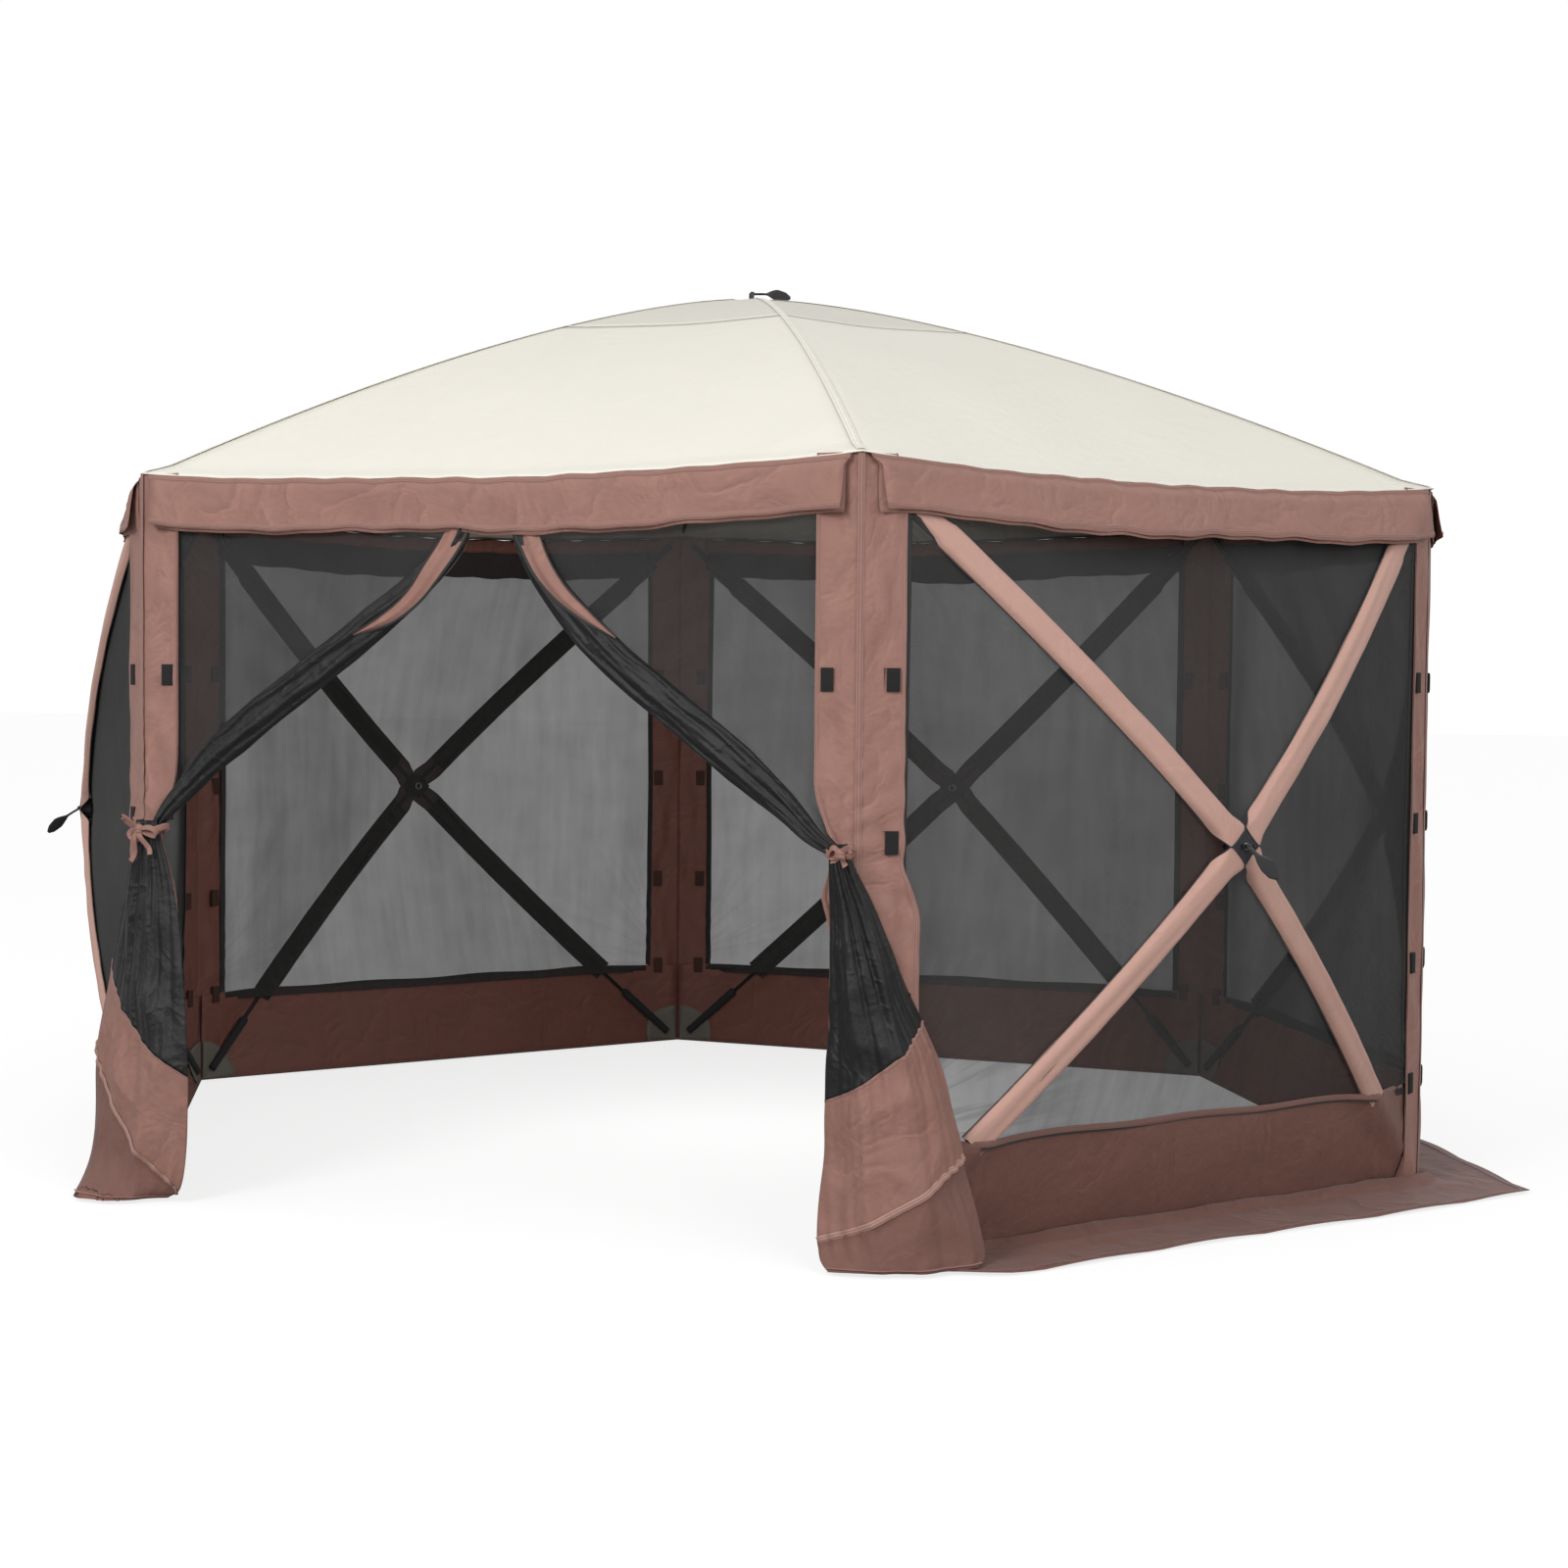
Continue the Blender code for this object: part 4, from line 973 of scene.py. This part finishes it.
# ---------------------------------------------------------------- door flaps
def spline(points, count):
    """A smooth line through a few points."""
    pts = np.asarray(points, float)
    d = np.concatenate([[0], np.cumsum(np.linalg.norm(np.diff(pts, axis=0), axis=1))])
    m = np.zeros_like(pts)
    m[1:-1] = (pts[2:] - pts[:-2]) / (d[2:] - d[:-2])[:, None]
    m[0] = (pts[1] - pts[0]) / (d[1] - d[0])
    m[-1] = (pts[-1] - pts[-2]) / (d[-1] - d[-2])
    q = np.linspace(0, d[-1], count)
    i = np.clip(np.searchsorted(d, q, side="right") - 1, 0, len(d) - 2)
    h = (d[i + 1] - d[i])[:, None]
    x = ((q - d[i]) / (d[i + 1] - d[i]))[:, None]
    return (
        pts[i] * (1 + 2 * x) * (1 - x) ** 2
        + m[i] * h * x * (1 - x) ** 2
        + pts[i + 1] * x * x * (3 - 2 * x)
        + m[i + 1] * h * x * x * (x - 1)
    )


def door_xyz(x, z, off):
    return wall_xyz(270, x, z, off, False)


# lines on the door's plane, from the top down to the tie: the middle of the gathered screen, and its edge strip
FLAPS = {
    "left": ("a", -1,
             [(-0.020, 1.690), (-0.060, 1.560), (-0.150, 1.465), (-0.300, 1.350), (-0.450, 1.245), (-0.600, 1.140),
              (-0.725, 1.040), (-0.808, 0.948), (-0.848, 0.890)],
             [(-0.020, 1.690), (-0.050, 1.600), (-0.090, 1.520), (-0.150, 1.440), (-0.220, 1.385), (-0.315, 1.345)]),
    "right": ("b", 1,
              [(0.075, 1.690), (0.115, 1.550), (0.200, 1.430), (0.330, 1.300), (0.460, 1.200), (0.600, 1.095),
               (0.720, 1.000), (0.810, 0.925), (0.868, 0.888)],
              [(0.075, 1.690), (0.108, 1.600), (0.150, 1.520), (0.210, 1.440), (0.280, 1.385), (0.351, 1.338)]),
}


def make_flap(label):
    key, hand, core, edge = FLAPS[label]
    n = 84
    core = spline(core, n)
    q = np.linspace(0, 1, n)
    tang = np.gradient(core, axis=0)
    tang /= np.linalg.norm(tang, axis=1, keepdims=True)
    up = np.stack([-tang[:, 1], tang[:, 0]], -1) * hand
    # the screen is bunched up along the core: round its back, its lower edge and its front
    wide = np.interp(q, [0, 0.12, 0.35, 0.75, 0.93, 1.0], [0.010, 0.026, 0.040, 0.042, 0.024, 0.012])
    deep = np.interp(q, [0, 0.12, 0.4, 0.85, 1.0], [0.004, 0.010, 0.016, 0.018, 0.014])
    level = 0.011 + 0.010 * smooth((q - 0.08) / 0.25) + 0.030 * smooth((q - 0.86) / 0.14)
    phi = np.linspace(-0.78 * math.pi, math.pi, 60)[None]
    qq = q[:, None]
    lobes = 0.16 * np.sin(6 * phi + 9 * qq * hand) + 0.10 * np.sin(11 * phi - 16 * qq) + 0.05 * np.sin(19 * phi + 31 * qq)
    size = 1 + lobes * smooth((math.pi - phi) / 0.6) * smooth(qq / 0.1)
    a = -wide[:, None] * np.cos(phi) * (1 + 0.10 * np.sin(qq * 40) * np.sin(phi))
    flat = core[:, None] + up[:, None] * a[..., None]
    off = level[:, None] + deep[:, None] * np.sin(phi) * size
    pts = door_xyz(flat[..., 0], flat[..., 1], off)
    length = np.concatenate([[0], np.cumsum(np.linalg.norm(np.diff(core, axis=0), axis=1))])
    roll = Cloth()
    roll.grid(pts, np.stack(np.meshgrid(np.linspace(0, 0.2, 60), length), -1), 0)
    obj = roll.make(f"door_roll_{label}", [M["roll"]], 0.0012, 0.0, weld=0)
    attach(obj, "shell")

    # the rest of the screen hangs clear between the bunch and the opening's sides
    start = flat[:, -1]
    split = n * 2 // 5
    top = np.stack([np.linspace(start[0, 0], hand * 0.832, split), np.full(split, 1.702)], -1)
    side = np.stack([np.full(n - split, hand * 0.832), np.linspace(1.702, 0.905, n - split)], -1)
    rim = np.concatenate([top, side])
    r = np.linspace(0, 1, 40)[None]
    flat = start[:, None] * (1 - r)[..., None] + rim[:, None] * r[..., None]
    begin = off[:, -1:]
    pull = 0.0030 * np.sin(qq * 62 + 2 * np.sin(qq * 13)) * (1 - r) ** 0.8 * (0.25 + qq) * smooth(r / 0.05)
    slack = 0.005 * ripple(door_xyz(flat[..., 0], flat[..., 1], 0.0), 70 + hand, 0.25) * np.sin(np.pi * r)
    off = begin * (1 - smooth(r / 0.35)) + 0.006 * smooth(r / 0.35) + pull + slack
    sheet = Cloth()
    sheet.grid(door_xyz(flat[..., 0], flat[..., 1], off), flat, 0)
    obj = sheet.make(f"door_sheer_{label}", [M["sheer"]])
    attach(obj, "shell")

    # the heavy edge of the flap folds over the bunch near the top and runs out to a point
    edge = spline(edge, 40)
    t = np.linspace(0, 1, 40)
    tang = np.gradient(edge, axis=0)
    tang /= np.linalg.norm(tang, axis=1, keepdims=True)
    up = np.stack([-tang[:, 1], tang[:, 0]], -1) * hand
    half = np.interp(t, [0, 0.2, 0.5, 0.8, 1.0], [0.026, 0.029, 0.024, 0.014, 0.002])
    x = np.linspace(-1, 1, 13)
    flat = edge[:, None] + up[:, None] * (half[:, None] * x[None])[..., None]
    depth = 0.016 + 0.022 * smooth((t - 0.18) / 0.35)[:, None]
    fold = 0.0035 * (1 - x**2)[None] + 0.0025 * np.sin(4.5 * x[None] + 3.0 * t[:, None]) + 0.0015 * np.sin(17 * t)[:, None]
    pts = door_xyz(flat[..., 0], flat[..., 1], depth + fold * smooth(t / 0.2)[:, None])
    strip = Cloth()
    strip.grid(pts, np.stack(np.meshgrid(x * 0.03, t * 0.45), -1), 0)
    out = np.array([0, -1.0, 0])
    ribbon(strip, pts[:, 0] + out * 0.0005, out, 0.007, 0.0022, 1)
    ribbon(strip, pts[:, -1] + out * 0.0003, out, 0.004, 0.0010, 1)
    obj = strip.make(f"door_edge_{label}", [M["terra"], M["binding"]], weld=0)
    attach(obj, "shell")
    make_fall(label, key, hand)
    make_bow(label, key, hand)


# the hanging part below the tie, level by level: height, then four places across it from the door's side, each as
# (along, out) measured from the corner
FALLS = {
    "a": [
        (0.905, (-0.095, 0.030), (-0.075, 0.048), (-0.045, 0.056), (-0.025, 0.030)),
        (0.870, (-0.100, 0.026), (-0.075, 0.046), (-0.030, 0.054), (-0.005, 0.028)),
        (0.750, (-0.130, 0.004), (-0.075, 0.046), (0.010, 0.054), (0.060, 0.024)),
        (0.630, (-0.160, 0.000), (-0.080, 0.050), (0.030, 0.060), (0.100, 0.036)),
        (0.520, (-0.180, 0.000), (-0.090, 0.056), (0.040, 0.070), (0.125, 0.050)),
        (0.330, (-0.200, 0.000), (-0.095, 0.076), (0.050, 0.095), (0.150, 0.080)),
        (0.120, (-0.190, 0.000), (-0.095, 0.090), (0.040, 0.110), (0.135, 0.090)),
        (0.035, (-0.170, 0.005), (-0.090, 0.112), (0.020, 0.140), (0.090, 0.140)),
        (0.009, (-0.130, 0.018), (-0.090, 0.145), (-0.035, 0.200), (0.005, 0.200)),
    ],
    "b": [
        (0.905, (-0.060, 0.034), (-0.050, 0.060), (-0.035, 0.060), (-0.025, 0.034)),
        (0.870, (-0.062, 0.026), (-0.050, 0.058), (-0.030, 0.058), (-0.015, 0.028)),
        (0.750, (-0.056, 0.006), (-0.027, 0.062), (0.018, 0.062), (0.049, 0.010)),
        (0.630, (-0.055, 0.002), (-0.014, 0.070), (0.051, 0.070), (0.097, 0.006)),
        (0.520, (-0.056, 0.000), (-0.002, 0.078), (0.085, 0.078), (0.145, 0.006)),
        (0.430, (-0.060, 0.002), (0.006, 0.084), (0.112, 0.084), (0.186, 0.008)),
        (0.330, (-0.061, 0.006), (0.013, 0.092), (0.132, 0.092), (0.214, 0.012)),
        (0.230, (-0.065, 0.012), (0.017, 0.100), (0.146, 0.100), (0.237, 0.018)),
        (0.080, (-0.080, 0.034), (0.015, 0.112), (0.166, 0.112), (0.272, 0.030)),
        (0.030, (-0.079, 0.060), (0.018, 0.116), (0.173, 0.116), (0.280, 0.040)),
        (0.009, (-0.065, 0.092), (0.024, 0.118), (0.165, 0.118), (0.263, 0.066)),
    ],
}
# where the screen gives way to the heavy cloth, and where its foot is stitched: heights at the door's and wall's side
FALL_BORDER = {"a": (0.300, 0.560), "b": (0.352, 0.528)}
FALL_FOOT = {"a": (0.022, 0.350), "b": (0.060, 0.232)}


def corner_xyz(key, along, out, z):
    """A place near a door post: along away from the door, out away from the middle."""
    hand = 1 if key == "b" else -1
    side = unit(90 - 60 * hand)
    ahead = unit(CORNERS[key])
    along, out, z = np.broadcast_arrays(np.asarray(along, float), np.asarray(out, float), np.asarray(z, float))
    return ahead * (R + out)[..., None] + side * along[..., None] + Z3 * z[..., None]


def make_fall(label, key, hand):
    count, dense = 110, 300
    f = np.linspace(0, 1, count)
    lines = []
    for level in FALLS[key]:
        flat = spline(level[1:], count)
        lines.append(corner_xyz(key, flat[:, 0], flat[:, 1], level[0]))
    lines = np.array(lines)
    cols = np.stack([spline(lines[:, j], dense) for j in range(count)], 1)
    z = cols[..., 2]
    across = np.gradient(cols, axis=1)
    across[..., 2] = 0
    across /= np.linalg.norm(across, axis=-1, keepdims=True)
    face = np.stack([across[..., 1], -across[..., 0], 0 * z], -1) * hand
    wave = np.sin(f * 2 * math.pi * 3.4 + 1.1 + 0.8 * np.sin(z * 5)) + 0.35 * np.sin(f * 2 * math.pi * 6.8 + 0.5)
    small = np.sin(f * 2 * math.pi * 9.3 + 2 * np.sin(z * 9)) + 0.6 * np.sin(f * 2 * math.pi * 15.7 + z * 13)
    drop = KNOT_Z - z
    wide = spline([level for level in FALLS[key] if level[0] < 0.34][0][1:], count)[:, 0]
    share = (wide - wide[0]) / (wide[-1] - wide[0])
    border = FALL_BORDER[key][0] + (FALL_BORDER[key][1] - FALL_BORDER[key][0]) * share
    stiff = np.where(z > border, 1.0, 0.40 + 0.60 * np.exp(-(border - z) / 0.11))
    near_border = 1 - 0.6 * np.exp(-(((z - border) / 0.09) ** 2))
    big = np.interp(drop, [-0.03, 0.0, 0.1, 0.4, 0.8, 0.9], [0.002, 0.0022, 0.0050, 0.0095, 0.011, 0.006])
    big = big * near_border * (0.75 if key == "a" else 1.0)
    fine = np.interp(drop, [-0.03, 0.0, 0.1, 0.35, 0.9], [0.0018, 0.0020, 0.0024, 0.0018, 0.0010])
    ends = np.sin(np.pi * f) ** 0.7
    rough = ripple(cols * np.array([1, 1, 0.8]), 500 + hand, 0.13, 9) * 0.0030 * smooth(drop / 0.3)
    rough = rough + crumpled(cols * np.array([1, 1, 0.6]), 520 + hand, 0.24) * 0.0075 * smooth(drop / 0.35) * ends**0.5
    foot = FALL_FOOT[key][0] + (FALL_FOOT[key][1] - FALL_FOOT[key][0]) * share
    below = smooth((foot - z) / 0.012)
    tuck = -0.0055 * below * np.exp(-np.maximum(foot - z, 0) / 0.05) * smooth((z - 0.012) / 0.02)
    gather = np.sin(f * 46 + 6 * np.sin(f * 7) + 14 * (z - foot)) * np.exp(-np.abs(z - foot) / 0.07)
    pucker = 0.0022 * gather * smooth((z - 0.015) / 0.03)
    cols = cols + face * (((wave * big + small * fine) * stiff * ends) + rough + tuck + pucker)[..., None]
    cols[..., 2] = np.maximum(cols[..., 2], 0.004)

    def at_height(j, heights):
        return np.stack([np.interp(-np.asarray(heights), -z[:, j], cols[:, j, k]) for k in range(3)], -1)

    upper, lower = np.linspace(0, 1, 44) ** 0.9, np.linspace(0, 1, 56)
    top, low = z[0, 0], z[-1, 0] + 1e-6
    net_pts = np.stack([at_height(j, top + (border[j] - top) * upper) for j in range(count)], 1)
    low_z = np.interp(lower, [0, 0.72, 1], [0, 0.90, 1.0])
    band_pts = np.stack([at_height(j, border[j] + (low - border[j]) * low_z) for j in range(count)], 1)
    centre = (0, 0, 0.9)
    net, heavy = Cloth(), Cloth()
    net.grid(net_pts)
    middle_z = (band_pts[:-1, :-1, 2] + band_pts[1:, 1:, 2]) / 2
    under = middle_z < (foot[:-1] + foot[1:])[None] / 2
    heavy.grid(band_pts, None, 0, keep=~under)
    heavy.grid(band_pts, None, 1, keep=under)
    obj = net.make(f"door_fall_screen_{label}", [M["roll"]], 0.0012, 0.0, away=centre)
    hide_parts(f"door_curtain_{label}")
    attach(obj, "shell")
    mats = [M["fall"], M["foot"], M["terra_in"], M["terra_in"]]
    obj = heavy.make(f"door_fall_band_{label}", mats, 0.0014, -1.0, 2, away=centre)
    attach(obj, "shell")
    trim = Cloth()
    out = unit(CORNERS[key])
    ribbon(trim, band_pts[0] + out * 0.0008, out, 0.008, 0.0010, 0)
    line = np.array([at_height(j, [foot[j]])[0] for j in range(count)])
    ribbon(trim, line + out * 0.0014 + Z3 * 0.005, out, 0.015, 0.0024, 1)
    ribbon(trim, band_pts[-3] + Z3 * 0.0015, Z3, 0.010, 0.001, 0)
    obj = trim.make(f"door_fall_seams_{label}", [M["seam"], M["fall_seam"]], weld=0)
    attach(obj, "shell")


def tube_line(cloth, line, radius, mat=0, sides=10, squash=0.45, normal=(0, -1.0, 0)):
    line = np.asarray(line, float)
    tang = np.gradient(line, axis=0)
    tang /= np.linalg.norm(tang, axis=1, keepdims=True)
    normal = np.asarray(normal, float)
    wide = np.cross(tang, normal)
    wide /= np.linalg.norm(wide, axis=1, keepdims=True) + 1e-12
    deep = np.cross(wide, tang)
    a = np.linspace(0, 2 * math.pi, sides + 1)[:-1]
    radius = np.broadcast_to(radius, (len(line),))
    pts = line[:, None] + wide[:, None] * (np.cos(a)[None] * radius[:, None])[..., None] + deep[:, None] * (np.sin(a)[None] * radius[:, None] * squash)[..., None]
    v = np.concatenate([[0], np.cumsum(np.linalg.norm(np.diff(line, axis=0), axis=1))])
    base = cloth.grid(pts, np.stack(np.meshgrid(a * 0.01, v), -1), mat, wrap=True)
    cloth.face(range(base, base + sides), mat)
    cloth.face(range(base + (len(line) - 1) * sides, base + len(line) * sides), mat)


def make_bow(label, key, hand):
    """The ribbon that ties the flap to its post: a band round the bunch, a knot, loops and tails."""
    lean = -0.046 if key == "b" else -0.082
    c = corner_xyz(key, lean, 0.066, KNOT_Z)
    side, out = unit(0) * hand, unit(CORNERS[key])
    cloth = Cloth()
    a = np.linspace(0, 2 * math.pi, 44)
    middle = corner_xyz(key, lean, 0.034, KNOT_Z)
    tilt = 0.006 * np.sin(a * 2 + 1)
    ring = middle + side * (0.030 * np.cos(a))[:, None] + out * (0.032 * np.sin(a))[:, None] + Z3 * tilt[:, None]
    flat_band(cloth, ring, Z3, 0.016)
    loops = ((0.20, 0.026, 0.6), (math.pi - 0.15, 0.024, -0.5)) if key == "b" else (
        (0.50, 0.052, 0.7), (math.pi + 0.15, 0.050, -0.6), (-0.85, 0.030, 0.2))
    for tilt, size, roll in loops:
        th = np.linspace(0, 2 * math.pi, 34)
        rad = size * np.sin(th / 2)
        way = side * math.cos(tilt) + Z3 * math.sin(tilt)
        cross = -side * math.sin(tilt) + Z3 * math.cos(tilt)
        belly = 0.012 * np.sin(th)
        loop = c + way * rad[:, None] + cross * (belly * math.cos(roll))[:, None]
        loop = loop + out * (0.004 + belly * math.sin(roll))[:, None]
        flat_band(cloth, loop, out * math.cos(roll) * 0.6 + cross * 0.8, 0.013)
    for lean_tail, size in ((-0.8, 0.020), (0.5, 0.026)) if key == "b" else ((-0.45, 0.060), (0.35, 0.078)):
        d = np.linspace(0, 1, 20)
        tail = c + side * (lean_tail * size * d)[:, None] - Z3 * (size * d)[:, None]
        tail = tail + out * (0.003 + 0.006 * np.sin(d * 6))[:, None]
        flat_band(cloth, tail, side + 0.3 * out, 0.013)
    th = np.linspace(-1, 1, 11)
    bead = 0.011 * np.sqrt(np.clip(1.12 - th**2, 0, 1)) * (1 + 0.1 * np.sin(th * 7))
    tube_line(cloth, c + out * 0.003 + Z3 * (0.011 * th)[:, None], bead, squash=0.75)
    obj = cloth.make(f"door_tie_{label}", [M["terra"]], 0.0010, 0.0, weld=0)
    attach(obj, "shell")


def flat_band(cloth, line, across, width):
    """A flat ribbon along a line, its width along across."""
    across = np.broadcast_to(np.asarray(across, float), line.shape)
    tang = np.gradient(line, axis=0)
    tang /= np.linalg.norm(tang, axis=1, keepdims=True)
    across = across - tang * np.sum(across * tang, 1, keepdims=True)
    across = across / (np.linalg.norm(across, axis=1, keepdims=True) + 1e-9)
    x = np.linspace(-1, 1, 5)
    v = np.concatenate([[0], np.cumsum(np.linalg.norm(np.diff(line, axis=0), axis=1))])
    pts = line[:, None] + across[:, None] * (x * width / 2)[None, :, None]
    cloth.grid(pts, np.stack(np.meshgrid(x * width / 2, v), -1))


# ---------------------------------------------------------------- stage
def make_stage():
    """A pale floor and a white room, with a large soft key light high on the left and a weak fill; the floor glows to
    the camera, darkened by a painted shadow where it is seen through the screens near the tent.
    """
    reach_out = 60.0
    mesh = bpy.data.meshes.new("floor")
    corners = [(-reach_out, -reach_out), (reach_out, -reach_out), (reach_out, reach_out), (-reach_out, reach_out)]
    mesh.from_pydata([(x, y, -0.001) for x, y in corners], [], [(0, 1, 2, 3)])
    floor = bpy.data.objects.new("floor", mesh)
    bpy.context.scene.collection.objects.link(floor)
    n = Nodes("floor_pale")
    seen = n.tree.nodes.new("ShaderNodeLightPath").outputs["Is Camera Ray"]
    n.put(n.bsdf.inputs["Base Color"], n.mix(seen, (0.34, 0.33, 0.32, 1), (0.92, 0.92, 0.92, 1)))
    n.bsdf.inputs["Roughness"].default_value = 0.95
    n.bsdf.inputs["Specular IOR Level"].default_value = 0.1
    # painted shadow: where the camera sees the floor through a screen within about two metres of the tent's middle,
    # its glow drops by about a third, fading out by about four metres
    layers = n.tree.nodes.new("ShaderNodeLightPath").outputs["Transparent Depth"]
    spread = n.tree.nodes.new("ShaderNodeVectorMath")
    spread.operation = "LENGTH"
    n.put(spread.inputs[0], n.object_coords())
    close = n.math("SUBTRACT", 1.9, n.math("MULTIPLY", spread.outputs["Value"], 0.5), clamp=True)
    floor_glow_painted_shadow = n.math("SUBTRACT", 1.0, n.math("MULTIPLY", n.math("MULTIPLY", n.math("MINIMUM", layers, 1.0), close), 0.36))
    glow = n.new("ShaderNodeEmission", Color=(1, 1, 1, 1), Strength=n.math("MULTIPLY", floor_glow_painted_shadow, 1.12))
    blend = n.tree.nodes.new("ShaderNodeMixShader")
    n.put(blend.inputs[0], n.math("MULTIPLY", seen, 0.70))
    n.tree.links.new(n.bsdf.outputs[0], blend.inputs[1])
    n.tree.links.new(glow.outputs[0], blend.inputs[2])
    n.tree.links.new(blend.outputs[0], n.out.inputs["Surface"])
    mesh.materials.append(n.mat)
    world = bpy.data.worlds.new("studio")
    bpy.context.scene.world = world
    world.use_nodes = True
    tree = world.node_tree
    back = tree.nodes["Background"]
    path = tree.nodes.new("ShaderNodeLightPath")
    level = tree.nodes.new("ShaderNodeMapRange")
    level.inputs["To Min"].default_value = 0.68
    level.inputs["To Max"].default_value = 1.02
    tree.links.new(path.outputs["Is Camera Ray"], level.inputs["Value"])
    tree.links.new(level.outputs[0], back.inputs["Strength"])
    back.inputs["Color"].default_value = (1, 1, 1, 1)
    for name, place, power, size in (
        ("key", (-1.5, -10.5, 6.0), 520, 3.2),
        ("fill", (8.0, -7.0, 4.0), 280, 5.0),
        ("inside", (0.0, 0.0, 0.95), 17, 0.35),
    ):
        data = bpy.data.lights.new(name, "POINT" if name == "inside" else "AREA")
        data.energy = power
        if name == "inside":
            data.shadow_soft_size = size
        else:
            data.size = size
        lamp = bpy.data.objects.new(name, data)
        lamp.location = place
        lamp.visible_camera = False
        lamp.rotation_euler = (Vector((0, 0, 1.0)) - Vector(place)).to_track_quat("-Z", "Y").to_euler()
        bpy.context.scene.collection.objects.link(lamp)
    bpy.context.scene.view_settings.view_transform = "Standard"


def make_camera():
    place = Vector((2.9235, -7.0213, 1.2564))
    yaw, pitch, roll = (math.radians(v) for v in (-25.827, -2.464, 0.378))
    focal, px, py = 2796.9, -194.9, 9.0
    ahead = Vector((math.sin(yaw) * math.cos(pitch), math.cos(yaw) * math.cos(pitch), math.sin(pitch)))
    right = ahead.cross(Vector((0, 0, 1))).normalized()
    up = right.cross(ahead)
    r2 = right * math.cos(roll) + up * math.sin(roll)
    u2 = -right * math.sin(roll) + up * math.cos(roll)
    data = bpy.data.cameras.new("camera")
    data.sensor_width = 36.0
    data.lens = focal / 1600 * 36.0
    data.shift_x = -px / 1600
    data.shift_y = py / 1600
    cam = bpy.data.objects.new("camera", data)
    from mathutils import Matrix

    rot = Matrix((r2, u2, -ahead)).transposed().to_4x4()
    cam.matrix_world = Matrix.Translation(place) @ rot
    bpy.context.scene.collection.objects.link(cam)
    bpy.context.scene.camera = cam


for wall in WALLS:
    make_wall(wall)
    make_corner_patches(wall)
    make_hub_patch(wall)
    for spot_name in SPOTS:
        make_sleeve(wall, spot_name)
for corner in CORNERS:
    make_post(corner)
make_roof()
make_valance()
make_straps()
make_skirt()
make_flap("left")
make_flap("right")
skin_cad()
make_stage()
make_camera()
